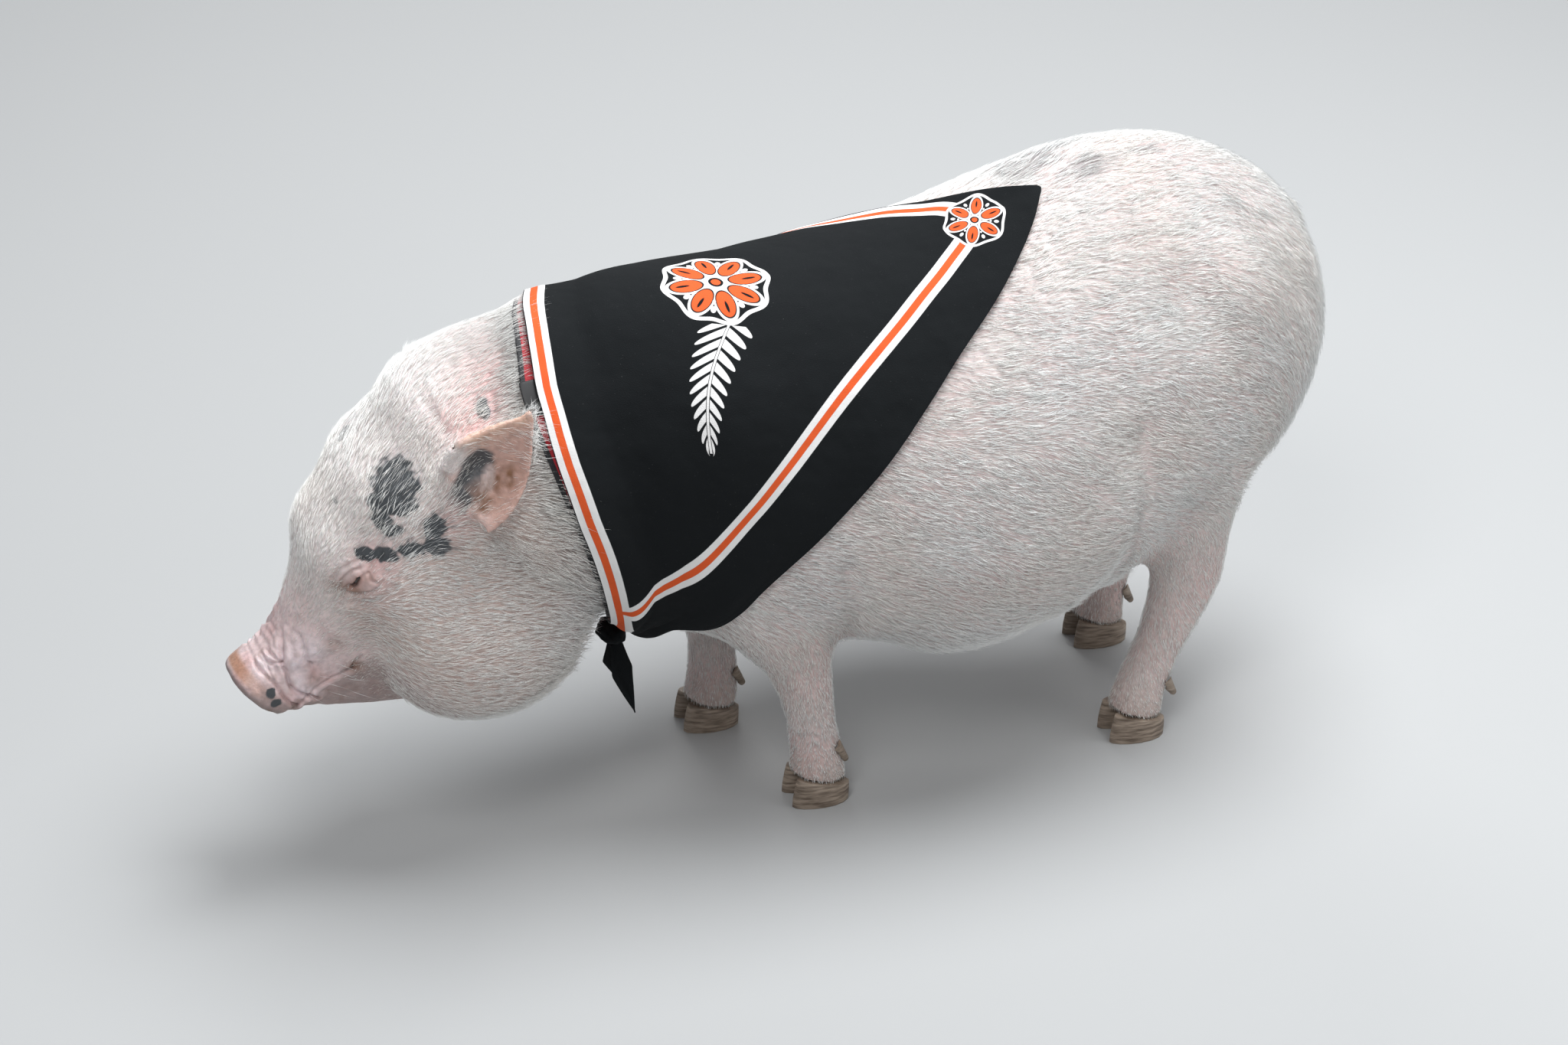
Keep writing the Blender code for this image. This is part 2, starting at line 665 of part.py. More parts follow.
def make_claws(name, leg, shin):
    """Two main claws under the foot and two dewclaws behind the pastern."""
    x, y = foot_place(leg)
    collection = shin.users_collection[0]
    foot = name.replace("leg_", "")
    slope = (CORONET_FRONT - CORONET_HEEL) / CLAW_LENGTH
    top = (CORONET_FRONT + CORONET_HEEL) / 2 - GAP / 2
    for label, place in (("outer", leg["side"]), ("inner", -leg["side"])):
        bm = bmesh.new()
        loops = []
        for level, grow, shift in ((0.0, 1.0, -0.0015), (0.3, 1.0, -0.001), (0.7, 0.97, 0.0), (1.0, 0.93, 0.001)):
            loop = []
            for px, py in claw_outline(CLAW_LENGTH * grow, CLAW_WIDTH * grow, -place):
                px += shift
                loop.append(bm.verts.new((x + px, y + place * CLAW_SPACING + py, level * (top - slope * px))))
            loops.append(loop)
        for first, second in zip(loops, loops[1:]):
            for k, vert in enumerate(first):
                n = (k + 1) % len(first)
                bm.faces.new((vert, first[n], second[n], second[k]))
        bm.faces.new(loops[0])
        bm.faces.new(loops[-1])
        bmesh.ops.recalc_face_normals(bm, faces=bm.faces)
        mesh_object(f"claw_{foot}_{label}", bm, collection)
    skin = swollen(shin, "shin_swollen", GAP)
    tree = tree_of(shin)
    for label, place in (("outer", leg["side"]), ("inner", -leg["side"])):
        out = y + place * DEWCLAW_OUT
        rear = tree.ray_cast(Vector((x + 0.2, out, DEWCLAW_HEIGHT)), Vector((-1, 0, 0)))[0]
        bpy.ops.mesh.primitive_cone_add(
            vertices=10, radius1=DEWCLAW_RADIUS, radius2=DEWCLAW_RADIUS * 0.45, depth=DEWCLAW_LENGTH
        )
        dewclaw = bpy.context.object
        dewclaw.name = f"dewclaw_{foot}_{label}"
        turn = Matrix.Rotation(math.radians(148), 4, "Y") @ Matrix.Rotation(math.radians(6 * place), 4, "X")
        centre = rear + Vector((-0.0005, place * 0.001, -0.005))
        dewclaw.data.transform(Matrix.Translation(centre) @ turn)
        for holder in list(dewclaw.users_collection):
            holder.objects.unlink(dewclaw)
        collection.objects.link(dewclaw)
        boolean(dewclaw, skin)
        largest_body(dewclaw)
    bpy.data.objects.remove(skin)


def ear_sheet(side, thick_shift):
    """Grid of the ear's points, on its inner or its outer face."""
    base = np.array(EAR_BASES[side])
    length = np.array(EAR_TIPS[side]) - base
    across = np.array(EAR_ACROSS)
    facing = np.cross(length, across)
    facing /= np.linalg.norm(facing)
    rows = []
    for p in np.linspace(-EAR_ROOT, 1, 10):
        open_share = max(p, 0.0)
        curl = EAR_CURL_BASE + (EAR_CURL_TIP - EAR_CURL_BASE) * open_share
        thick = EAR_THICK_BASE + (EAR_THICK_TIP - EAR_THICK_BASE) * open_share
        row = []
        for q in np.linspace(-1, 1, 9):
            taper = 1 - open_share if q > 0 else 1 - open_share**2.2
            half = max(EAR_HALF_WIDTH * taper, 0.0035) * (1 + 0.25 * min(p, 0.0))
            radius = half / curl - thick_shift * thick
            bend = q * curl
            point = base + length * p + across * radius * math.sin(bend)
            point = point + facing * (half / curl - radius * math.cos(bend) - EAR_SINK * half)
            row.append(Vector((point[0], -side * point[1], point[2])))
        rows.append(row)
    return rows


def make_ear(name, side, head_swollen, collection):
    bm = bmesh.new()
    faces = []
    for shift in (0.5, -0.5):
        faces.append([[bm.verts.new(p) for p in row] for row in ear_sheet(side, shift)])
    for grid in faces:
        for first, second in zip(grid, grid[1:]):
            for k in range(len(first) - 1):
                bm.faces.new((first[k], first[k + 1], second[k + 1]))
                bm.faces.new((first[k], second[k + 1], second[k]))
    inner, outer = faces
    rims = [(inner[0], outer[0]), (inner[-1], outer[-1])]
    rims += [([row[k] for row in inner], [row[k] for row in outer]) for k in (0, -1)]
    for first, second in rims:
        for k in range(len(first) - 1):
            bm.faces.new((first[k], first[k + 1], second[k + 1], second[k]))
    bmesh.ops.recalc_face_normals(bm, faces=bm.faces)
    ear = mesh_object(name, bm, collection)
    boolean(ear, head_swollen)
    largest_body(ear)
    return ear


def lock(name, line, across, width, thick, collection):
    """A flat lock along a line of points: full near its root, and tapered to its tip."""
    rings = []
    for k, point in enumerate(line[:-1]):
        share = k / (len(line) - 1)
        run = (line[k + 1] - point).normalized()
        flat = (across - run * across.dot(run)).normalized()
        wide = width / 2 * min(1.0, 0.7 + share) * (1 - share**2 * 0.75)
        deep = thick / 2 * (1 - 0.5 * share)
        rings.append((point, flat, flat.cross(run), wide, deep, deep))
    rings.append((line[-1], flat, flat.cross(run), width * 0.06, thick * 0.15, thick * 0.15))
    return loft(name, rings, collection, LOCK_SIDES)


def fuse(obj, locks_collection):
    """Joins the locks of a collection to an object, and removes them."""
    join = obj.modifiers.new("locks", "BOOLEAN")
    join.operation = "UNION"
    join.solver = "EXACT"
    join.operand_type = "COLLECTION"
    join.collection = locks_collection
    apply_modifiers(obj)
    for made in list(locks_collection.objects):
        bpy.data.objects.remove(made)
    largest_body(obj)


def crest_locks(tree, locks_collection):
    """The low bristles along the top of the head and the neck, lying back and lifting at their tips."""
    draw = np.random.default_rng(7)
    length, width, thick, lift = CREST_LOCK
    for side_place, count in CREST_ROWS:
        for k in range(count):
            back = CREST_FROM + (CREST_TO - CREST_FROM) * (k + draw.uniform(0.0, 0.7)) / count
            grown = length * draw.uniform(0.85, 1.15)
            drift = side_place * 0.35 + draw.uniform(-0.003, 0.003)
            across = Vector((0, 1, 0)) + Vector((0, 0, 1)) * draw.uniform(-0.3, 0.3)
            wide = width * draw.uniform(0.8, 1.2)
            line = []
            for t in (-0.2, 0.15, 0.5, 0.8, 1.0):
                start = head_point(back + grown * t, 0.25, side_place + drift * max(t, 0.0))
                hit, normal, *_ = tree.ray_cast(start, head_point(0, -1) - head_point(0, 0))
                if hit:
                    line.append(hit + normal * (lift * max(t, 0.0) ** 1.3 + LOCK_SINK * min(t, 0.0) * 5))
            if len(line) == LOCK_POINTS:
                lock("crest_lock", line, across, wide, thick, locks_collection)


def switch_locks(path, locks_collection):
    """The tuft at the end of the tail: locks that leave it all round and hang together."""
    draw = np.random.default_rng(11)
    length, width, thick = SWITCH_LOCK
    line = through(path, 4)[:, :3]
    for k in range(SWITCH_COUNT):
        turn = 2 * math.pi * (k * 0.382)
        at = int(len(line) * (0.66 + 0.30 * k / SWITCH_COUNT))
        root = Vector(line[at])
        run = Vector(line[min(at + 1, len(line) - 1)] - line[at - 1]).normalized()
        out = (Vector((math.cos(turn), math.sin(turn), 0))).cross(run).cross(run).normalized()
        down = (run + Vector((0, 0, -1))).normalized()
        grown = length * draw.uniform(0.75, 1.1)
        points = []
        for t in (0.0, 0.25, 0.5, 0.75, 1.0):
            spread = 0.001 + 0.006 * math.sin(math.pi * min(t, 0.62) * 0.8) - 0.003 * t
            points.append(root + down * (grown * t) + out * spread)
        lock("switch_lock", points, out.cross(down), width * draw.uniform(0.85, 1.2), thick, locks_collection)


def make_tail(whole, torso, collection, locks_collection):
    tree = tree_of(whole)
    path = []
    for y, z, off, radius in TAIL:
        rump = tree.ray_cast(Vector((1, y, z)), Vector((-1, 0, 0)))[0]
        path.append((rump.x + off, y, z, radius))
    rings = []
    line = through(path, 2)
    for k, (x, y, z, radius) in enumerate(line):
        run = line[min(k + 1, len(line) - 1)] - line[max(k - 1, 0)]
        run = Vector(run[:3]).normalized()
        side = run.cross(Vector((1, 0, 0))).normalized()
        rings.append((Vector((x, y, z)), side, side.cross(run), radius, radius, radius))
    tail = loft("tail", rings, collection, TAIL_RING_POINTS)
    body = swollen(torso, "torso_swollen", GAP)
    boolean(tail, body)
    bpy.data.objects.remove(body)
    largest_body(tail)
    switch_locks(path, locks_collection)
    fuse(tail, locks_collection)
    return tail


def wrap(name, tree, angles, front, rear, lines, off, thick, collection):
    """A shell round the neck. The angles are from the top, and front and rear give x there."""
    bm = bmesh.new()
    closed = angles[-1] - angles[0] >= 360
    grid = []
    for turn in angles[:-1] if closed else angles:
        a = math.radians(turn)
        out = Vector((0, math.sin(a), math.cos(a)))
        row = []
        for k in range(lines):
            share = k / (lines - 1)
            x = front(turn) * (1 - share) + rear(turn) * share
            hit = tree.ray_cast(Vector((x, 0, WRAP_HEIGHT)), out)[0]
            row.append(bm.verts.new(hit + out * off(turn, x)))
        grid.append(row)
    if closed:
        grid.append(grid[0])
    for first, second in zip(grid, grid[1:]):
        for k in range(lines - 1):
            bm.faces.new((first[k], second[k], second[k + 1]))
            bm.faces.new((first[k], second[k + 1], first[k + 1]))
    bmesh.ops.recalc_face_normals(bm, faces=bm.faces)
    made = mesh_object(name, bm, collection)
    axis = Vector((0, 0, WRAP_HEIGHT))
    outward = [(p.center - axis).yz.dot(p.normal.yz) for p in made.data.polygons]
    if sum(outward) < 0:
        made.data.flip_normals()
    shell = made.modifiers.new("thickness", "SOLIDIFY")
    shell.thickness = thick
    shell.offset = 1
    apply_modifiers(made)
    return made


def line_through(table):
    """x as a function of the angle from the top."""
    angles, values = zip(*table)

    def value(turn):
        return float(np.interp(turn, angles, values))

    return value


def make_neckerchief(whole, collection):
    tree = tree_of(whole)
    end = CLOTH_FRONT[-1][0]
    front = line_through(CLOTH_FRONT)
    rear = line_through(CLOTH_REAR_LEFT + CLOTH_REAR_TIP + CLOTH_REAR_RIGHT)
    middle = line_through(COLLAR_LINE)

    def off(turn, x):
        over_collar = 1 - (abs(x - middle(turn)) - COLLAR_WIDTH * 0.62) / CLOTH_EASE
        at_front = 1 - (x - front(turn)) / CLOTH_EASE
        crest = max(0.0, 1 - abs(turn + 10) / 45) * max(0.0, min(1.0, at_front))
        lift = max(0.0, min(1.0, max(over_collar, at_front)))
        return CLOTH_OFF + CLOTH_OFF_FRONT * lift + CLOTH_OFF_CREST * crest

    near_tip = [turn for turn, x in CLOTH_REAR_TIP]
    spread = [t for t in np.linspace(-end, end, 37) if min(abs(t - n) for n in near_tip) > 3]
    wrap(
        "neckerchief", tree, sorted(spread + near_tip), front, rear,
        9, off, CLOTH_THICK, collection,
    )
    wrap(
        "collar", tree, list(np.linspace(-180, 180, 41)), lambda t: middle(t) - COLLAR_WIDTH / 2,
        lambda t: middle(t) + COLLAR_WIDTH / 2, 2, lambda t, s: COLLAR_OFF, COLLAR_THICK, collection,
    )
    outside = COLLAR_OFF + COLLAR_THICK + GAP
    wrap(
        "collar_slide", tree, [-t for t in np.linspace(SLIDE[1], SLIDE[0], 4)],
        lambda t: middle(t) - COLLAR_WIDTH * 0.62, lambda t: middle(t) + COLLAR_WIDTH * 0.05,
        3, lambda t, s: outside, COLLAR_THICK, collection,
    )
    knot = ball("neckerchief_knot", KNOT_AT, KNOT_SIZE, collection, segments=12)
    knot_swollen = swollen(knot, "knot_swollen", GAP)
    for name, line in TIES.items():
        rings = []
        points = through(line, 4)
        for k, point in enumerate(points):
            run = Vector(points[min(k + 1, len(points) - 1)] - points[max(k - 1, 0)]).normalized()
            side = Vector((1, 0.35, 0)).cross(run).cross(run).normalized()
            share = k / (len(points) - 1)
            wide = TIE_WIDTH / 2 * (0.62 + 0.9 * share if share < 0.45 else 1.85 * (1.001 - share))
            rings.append((Vector(point), side, run.cross(side), max(wide, 0.001), CLOTH_THICK / 2, CLOTH_THICK / 2))
        tie = loft(name, rings, collection, TIE_RING_POINTS)
        boolean(tie, knot_swollen)
        largest_body(tie)
    bpy.data.objects.remove(knot_swollen)


def finish(obj):
    """Gives an object its own material, and smooth shading between its crisp edges."""
    finishes = [value for start, value in FINISHES.items() if obj.name.startswith(start)]
    obj.data.materials.clear()
    obj.data.materials.append(material(obj.name, *(finishes or [SKIN])[0]))
    obj.data.shade_smooth()
    obj.data.set_sharp_from_angle(angle=SMOOTH_ANGLE)


def centre_all(collection):
    """Moves the animal so that the middle of its footprint is over the origin."""
    bpy.context.view_layer.update()
    corners = np.array([v.co for obj in collection.objects for v in obj.data.vertices])
    low, high = corners.min(axis=0), corners.max(axis=0)
    shift = -(low + high) / 2
    shift[2] = -low[2]
    for obj in collection.objects:
        obj.data.transform(Matrix.Translation(shift))
    return shift


if __name__ == "__main__":
    pig, cutters, locks = start_scene()
    whole = flesh(pig)
    head, snout = make_head(whole, pig, cutters)
    torso, neck = make_body(whole, pig, cutters)
    head_swollen = swollen(head, "head_swollen", GAP)
    crest_locks(tree_of(head), locks)
    fuse(head, locks)
    make_ear("ear_left", LEFT, head_swollen, pig)
    make_ear("ear_right", RIGHT, head_swollen, pig)
    bpy.data.objects.remove(head_swollen)
    make_tail(whole, torso, pig, locks)
    make_neckerchief(whole, pig)
    bpy.data.objects.remove(whole)
    for obj in pig.objects:
        finish(obj)
    shift = centre_all(pig)
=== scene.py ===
import itertools
import math
from contextlib import contextmanager

import bpy
import numpy as np
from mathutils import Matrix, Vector
from mathutils.bvhtree import BVHTree


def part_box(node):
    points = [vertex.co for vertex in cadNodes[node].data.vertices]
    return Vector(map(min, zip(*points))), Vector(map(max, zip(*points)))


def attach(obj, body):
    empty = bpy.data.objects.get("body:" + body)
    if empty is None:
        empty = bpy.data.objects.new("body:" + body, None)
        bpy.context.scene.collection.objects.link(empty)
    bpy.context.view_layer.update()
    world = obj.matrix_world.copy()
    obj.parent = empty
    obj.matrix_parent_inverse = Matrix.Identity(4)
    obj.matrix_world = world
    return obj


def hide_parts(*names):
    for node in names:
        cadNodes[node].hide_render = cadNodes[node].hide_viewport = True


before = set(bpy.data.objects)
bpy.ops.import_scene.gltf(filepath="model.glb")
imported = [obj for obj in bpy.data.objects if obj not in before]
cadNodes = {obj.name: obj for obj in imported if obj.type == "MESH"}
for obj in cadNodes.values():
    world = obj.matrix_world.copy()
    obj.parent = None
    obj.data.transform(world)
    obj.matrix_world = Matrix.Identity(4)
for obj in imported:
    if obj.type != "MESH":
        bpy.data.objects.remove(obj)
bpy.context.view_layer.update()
dice = np.random.default_rng(53)
animalMiddle = np.array([-0.0039, 0.0001, 0.0])  # the solids' shift from the sizes below


def onlySelect(*objs):
    bpy.ops.object.select_all(action="DESELECT")
    for obj in objs:
        obj.select_set(True)
    bpy.context.view_layer.objects.active = objs[0]


def newObject(name, data):
    made = bpy.data.objects.new(name, data)
    bpy.context.scene.collection.objects.link(made)
    return made


@contextmanager
def editing(obj, select="SELECT"):
    # edit mode on this mesh alone, with all of it selected, or nothing, or what was before
    onlySelect(obj)
    bpy.ops.object.mode_set(mode="EDIT")
    if select:
        bpy.ops.mesh.select_all(action=select)
    yield
    bpy.ops.object.mode_set(mode="OBJECT")


def modify(obj, kind, **settings):
    # adds a modifier with these settings and applies it
    modifier = obj.modifiers.new(kind.lower(), kind)
    for key, value in settings.items():
        setattr(modifier, key, value)
    onlySelect(obj)
    bpy.ops.object.modifier_apply(modifier=modifier.name)


def shadeSmooth(obj, angle=None):
    onlySelect(obj)
    if angle is None:
        bpy.ops.object.shade_smooth()
    else:
        bpy.ops.object.shade_smooth_by_angle(angle=math.radians(angle))


def ownCopy(nodeName, name):
    # a piece of its own from a CAD node, with its loose triangles joined
    node = cadNodes[nodeName]
    mesh = bpy.data.meshes.new_from_object(node)
    mesh.transform(node.matrix_world)
    made = newObject(name, mesh)
    with editing(made):
        bpy.ops.mesh.remove_doubles(threshold=0.00001)
    return made


def readAll(items, what, kind=np.float32):
    found = np.empty(len(items) * 3, kind)
    items.foreach_get(what, found)
    return found.reshape(-1, 3)


def pointsOf(obj):
    return readAll(obj.data.vertices, "co").astype(float)


def normalsOf(obj):
    return readAll(obj.data.vertices, "normal").astype(float)


def trianglesOf(obj):
    obj.data.calc_loop_triangles()
    return readAll(obj.data.loop_triangles, "vertices", np.int32)


def putPoints(obj, points):
    obj.data.vertices.foreach_set("co", np.asarray(points, np.float32).ravel())
    obj.data.update()


def meshFrom(name, points, faces):
    # faces is an array of equal polygons
    mesh = bpy.data.meshes.new(name)
    count, corners = faces.shape
    mesh.vertices.add(len(points))
    mesh.vertices.foreach_set("co", np.asarray(points, np.float32).ravel())
    mesh.loops.add(count * corners)
    mesh.loops.foreach_set("vertex_index", faces.astype(np.int32).ravel())
    mesh.polygons.add(count)
    mesh.polygons.foreach_set("loop_start", np.arange(0, count * corners, corners, dtype=np.int32))
    mesh.update(calc_edges=True)
    return newObject(name, mesh)


def setAttribute(obj, name, values):
    # one number or one colour for each point of the mesh
    values = np.asarray(values)
    isColour = values.ndim == 2
    attribute = obj.data.attributes.new(name, "FLOAT_COLOR" if isColour else "FLOAT", "POINT")
    if isColour:
        values = np.column_stack([values, np.ones(len(values))])
    attribute.data.foreach_set("color" if isColour else "value", values.astype(np.float32).ravel())


def ramp(values, low, high):
    t = np.clip((values - low) / (high - low), 0, 1)
    return t * t * (3 - 2 * t)


def fade(values, low, high):
    return 1 - ramp(values, low, high)


def hump(off, reach):
    # 1 in the middle, down to nearly 0 at twice the reach
    return np.exp(-(off / reach) ** 2)


def blend(first, second, share):
    return first * (1 - share) + second * share


def cloudy(points, size, seed):
    # smooth noise from -1 to 1, with lumps about as wide as size
    p = np.asarray(points) / size + seed * 17.31
    cell = np.floor(p).astype(np.int64)
    part = p - cell
    part = part * part * (3 - 2 * part)
    total = 0.0
    for corner in itertools.product((0, 1), repeat=3):
        x, y, z = (cell + corner).T
        mixed = (x * 73856093) ^ (y * 19349663) ^ (z * 83492791) ^ (seed * 2654435)
        mixed = (mixed * 1103515245 + 12345) & 0x7FFFFFFF
        mixed = ((mixed >> 7) ^ mixed) * 69069 & 0x7FFFFFFF
        wx, wy, wz = np.where(corner, part, 1 - part).T
        total = total + (mixed / 0x7FFFFFFF * 2 - 1) * wx * wy * wz
    return total


# the head's own directions: back along its axis and up off it, from the snout's face
headPose = {"face": (-0.453, 0.165), "pitch": 43}
headTurn = math.radians(headPose["pitch"])
headBack = np.array([math.cos(headTurn), 0, math.sin(headTurn)])
headUp = np.array([-math.sin(headTurn), 0, math.cos(headTurn)])
headFace = np.array([headPose["face"][0], 0, headPose["face"][1]]) + animalMiddle


def headPlace(points):
    # distances back from the snout's face, up from the head's axis and out to the side
    off = points - headFace
    return off @ headBack, off @ headUp, np.abs(points[:, 1])


def treeOf(obj, keep=None):
    triangles = trianglesOf(obj)
    if keep is not None:
        triangles = triangles[keep[triangles].all(axis=1)]
    return BVHTree.FromPolygons([Vector(p) for p in pointsOf(obj)], [tuple(t) for t in triangles.tolist()])


def distanceTo(tree, points, reach):
    found = np.full(len(points), reach, float)
    for k, point in enumerate(points):
        near = tree.find_nearest(Vector(point), reach)
        if near[0] is not None:
            found[k] = near[3]
    return found


def boxOf(name):
    return [np.array(corner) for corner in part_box(name)]


earNames = ["ear_left", "ear_right"]
legNames = ["leg_front_left", "leg_front_right", "leg_hind_left", "leg_hind_right"]
depsgraph = bpy.context.evaluated_depsgraph_get()
nodeTrees = {name: BVHTree.FromObject(cadNodes[name], depsgraph) for name in earNames + ["tail"]}


def nearNode(name, points, reach, margin):
    # which points are by this node's box, and how far they are from the node
    low, high = boxOf(name)
    near = np.all((points > low - margin) & (points < high + margin), axis=1)
    return near, distanceTo(nodeTrees[name], points[near], reach)


def nearEars(points, reach):
    found = np.full(len(points), reach, float)
    for name in earNames:
        near, away = nearNode(name, points, reach, reach)
        found[near] = np.minimum(found[near], away)
    return found


def onTail(points):
    # 1 on the tail, 0 a little off it
    found = np.zeros(len(points))
    near, away = nearNode("tail", points, 0.012, 0.006)
    found[near] = fade(away, 0.002, 0.007)
    return found


def legShare(points):
    # 1 on the legs, 0 on the body
    x, z = points[:, 0], points[:, 2]
    fore = ramp(x, -0.17, -0.14) * fade(x, 0.02, 0.045) * fade(z, 0.13, 0.24)
    hind = ramp(x, 0.235, 0.26) * fade(z, 0.17, 0.27)
    return np.maximum(fore, hind)


def headShare(points):
    # 1 on the head, 0 on the body
    return fade(points[:, 0], -0.27, -0.2)


# the skin, one mesh without a seam that lies inside the solids by the depth of the coat
skinSize = {
    "closeUp": 0.0005,      # each solid grows by this, which closes the cuts
    "voxel": 0.0021,
    "faces": 188000,
    "bodyRounds": 150,      # smoothing rounds
    "crownRounds": 260,
    "headRounds": 26,
    "lastRounds": 3,
    "lobeRounds": 24,
    "coatDepth": 0.0046,
    "faceDepth": 0.0024,
    "footDepth": 0.0012,
    "tailDepth": 0.0012,
    "earDepth": 0.0007,
}
eyePlace = {"back": 0.136, "rise": 0.031, "side": 0.03}  # middle of the lids, and how far out they start
fleshNames = ["head", "snout", "neck", "torso", "tail"] + legNames + earNames


def fromEye(back, rise):
    return np.hypot(back - eyePlace["back"], rise - eyePlace["rise"])


def smoothPart(skin, share, rounds, steps=8):
    # smooths where share is 1, in steps down to 0
    group = skin.vertex_groups.new(name="smoothed")
    levels = np.round(share * steps).astype(int)
    for level in range(1, steps + 1):
        group.add(np.nonzero(levels == level)[0].tolist(), level / steps, "REPLACE")
    modify(skin, "SMOOTH", factor=0.5, iterations=rounds, vertex_group="smoothed")
    skin.vertex_groups.remove(skin.vertex_groups["smoothed"])


def largestPart(obj):
    # loose crumbs, which the finest locks leave, go
    with editing(obj):
        bpy.ops.mesh.separate(type="LOOSE")
    parts = sorted(bpy.context.selected_objects, key=lambda part: len(part.data.polygons))
    kept = parts.pop()
    for crumb in parts:
        bpy.data.objects.remove(crumb)
    kept.name = "skin"
    return kept


def joinFlesh():
    pieces = []
    for name in fleshNames:
        piece = ownCopy(name, "flesh_" + name)
        modify(piece, "DISPLACE", mid_level=0, strength=skinSize["closeUp"])
        pieces.append(piece)
    onlySelect(*pieces)
    bpy.ops.object.join()
    joined = bpy.context.object
    joined.name = "skin"
    joined.data.materials.clear()
    modify(joined, "REMESH", mode="VOXEL", voxel_size=skinSize["voxel"])
    return largestPart(joined)


def buildSkin():
    skin = joinFlesh()
    print("skin remeshed to", len(skin.data.polygons), "faces")
    points = pointsOf(skin)
    back, rise, side = headPlace(points)
    ear = fade(nearEars(points, 0.012), 0.001, 0.01)
    headward = headShare(points)
    low = fade(points[:, 2], 0.1, 0.2)
    tail = onTail(points)
    crest = ramp(back, 0.072, 0.1) * fade(side, 0.038, 0.064) * ramp(rise, 0.025, 0.055)
    body = np.maximum((1 - headward) * (1 - low) * (1 - tail), crest) * (1 - ear)
    smoothPart(skin, body, skinSize["bodyRounds"])
    crown = crest * ramp(back, 0.11, 0.135) * (1 - ear) * headward
    smoothPart(skin, crown, skinSize["crownRounds"])
    eyes = fade(np.hypot(fromEye(back, rise), np.maximum(0, eyePlace["side"] - side)), 0.01, 0.02)
    disc = fade(back, 0.018, 0.03)
    smoothPart(skin, (1 - ear) * (1 - eyes) * (1 - disc) * (1 - 0.6 * tail), skinSize["headRounds"])
    smoothPart(skin, np.ones(len(points)), skinSize["lastRounds"])

    # sunk by the depth of the coat, least at the snout, lids, crown, feet, ears and tail
    points, normals = pointsOf(skin), normalsOf(skin)
    depth = blend(skinSize["coatDepth"], skinSize["faceDepth"], fade(back, 0.1, 0.22))
    depth = depth * ramp(back, 0.014, 0.05) * (1 - 0.75 * eyes) * (1 - 0.55 * crest * headward - 0.4 * crown)
    depth = blend(depth, skinSize["footDepth"], fade(points[:, 2], 0.02, 0.16))
    depth = blend(depth, skinSize["earDepth"], ear)
    depth = blend(depth, skinSize["tailDepth"], tail)
    putPoints(skin, points - normals * depth[:, None])
    return skin


skin = buildSkin()

# patches of grey: their middles and their reach along x, y and z
greyPatches = {
    "temple": [
        (-0.3445, -0.062, 0.359, 0.0195, 0.03, 0.019), (-0.346, -0.064, 0.344, 0.018, 0.03, 0.012),
        (-0.356, -0.066, 0.33, 0.008, 0.02, 0.0085), (-0.349, -0.07, 0.3215, 0.008, 0.02, 0.006),
        (-0.3195, -0.081, 0.325, 0.0095, 0.02, 0.011), (-0.318, -0.082, 0.308, 0.0125, 0.02, 0.0085),
        (-0.3365, -0.077, 0.306, 0.012, 0.02, 0.006), (-0.356, -0.069, 0.3015, 0.011, 0.02, 0.0062),
        (-0.369, -0.06, 0.301, 0.0085, 0.02, 0.0062),
    ],
    "neck": [(-0.2716, -0.0626, 0.4121, 0.0058, 0.012, 0.008)],
    "crown": [(-0.384, -0.028, 0.334, 0.0028, 0.008, 0.0028), (-0.362, 0.02, 0.37, 0.007, 0.01, 0.012)],
    "muzzle": [
        (-0.4449, -0.031, 0.1757, 0.0042, 0.01, 0.0044), (-0.4412, -0.0307, 0.1655, 0.0042, 0.01, 0.0042),
    ],
    "back": [
        (0.205, 0.018, 0.503, 0.032, 0.022, 0.03), (0.246, -0.016, 0.511, 0.018, 0.016, 0.03),
        (0.3, -0.01, 0.514, 0.02, 0.006, 0.03), (0.235, 0.04, 0.5, 0.075, 0.014, 0.04),
    ],
    "farSide": [(-0.35, 0.062, 0.345, 0.013, 0.02, 0.016), (0.16, 0.13, 0.42, 0.026, 0.04, 0.02)],
}
patchStrength = {"temple": 1.0, "neck": 1.0, "crown": 0.8, "muzzle": 1.0, "back": 0.66, "farSide": 0.8}


def greyShare(points):
    # 1 in the patches, with ragged edges
    found = np.zeros(len(points))
    ragged = 0.16 * cloudy(points, 0.008, 11) + 0.2 * cloudy(points, 0.0035, 12)
    for name, patches in greyPatches.items():
        for patch in patches:
            off = (points - np.array(patch[:3])) / np.array(patch[3:])
            away = np.sqrt((off ** 2).sum(axis=1)) + ragged
            found = np.maximum(found, patchStrength[name] * fade(away, 0.86, 1.1))
    return found


def closeTo(points, x, y, z, reach):
    return np.exp(-(((points - np.array([x, y, z])) ** 2).sum(axis=1)) / reach ** 2)


def closeToBoth(points, x, y, z, reach):
    # the same on the left and the right of the animal
    return [closeTo(points, x, y * sign, z, reach) for sign in (-1, 1)]


def insideFacing(points, normals):
    # the hollow side of an ear faces forward and out
    outward = np.abs(normals[:, 1]) * np.sign(normals[:, 1] * points[:, 1])
    return normals @ np.array([-0.62, 0, -0.25]) + outward * 0.75


def insideEar(points, normals, ear):
    return ear * ramp(insideFacing(points, normals), 0.1, 0.45)


# the right ear hangs a little lower than the left one
rightEarOff = np.array([0.005, 0, -0.017])


def earMark(points, x, y, z, reach):
    # 1 at this place of the left ear and at the same place of the right one
    dx, _, dz = rightEarOff
    return closeTo(points, x, -y, z, reach) + closeTo(points, x + dx, y, z + dz, reach)


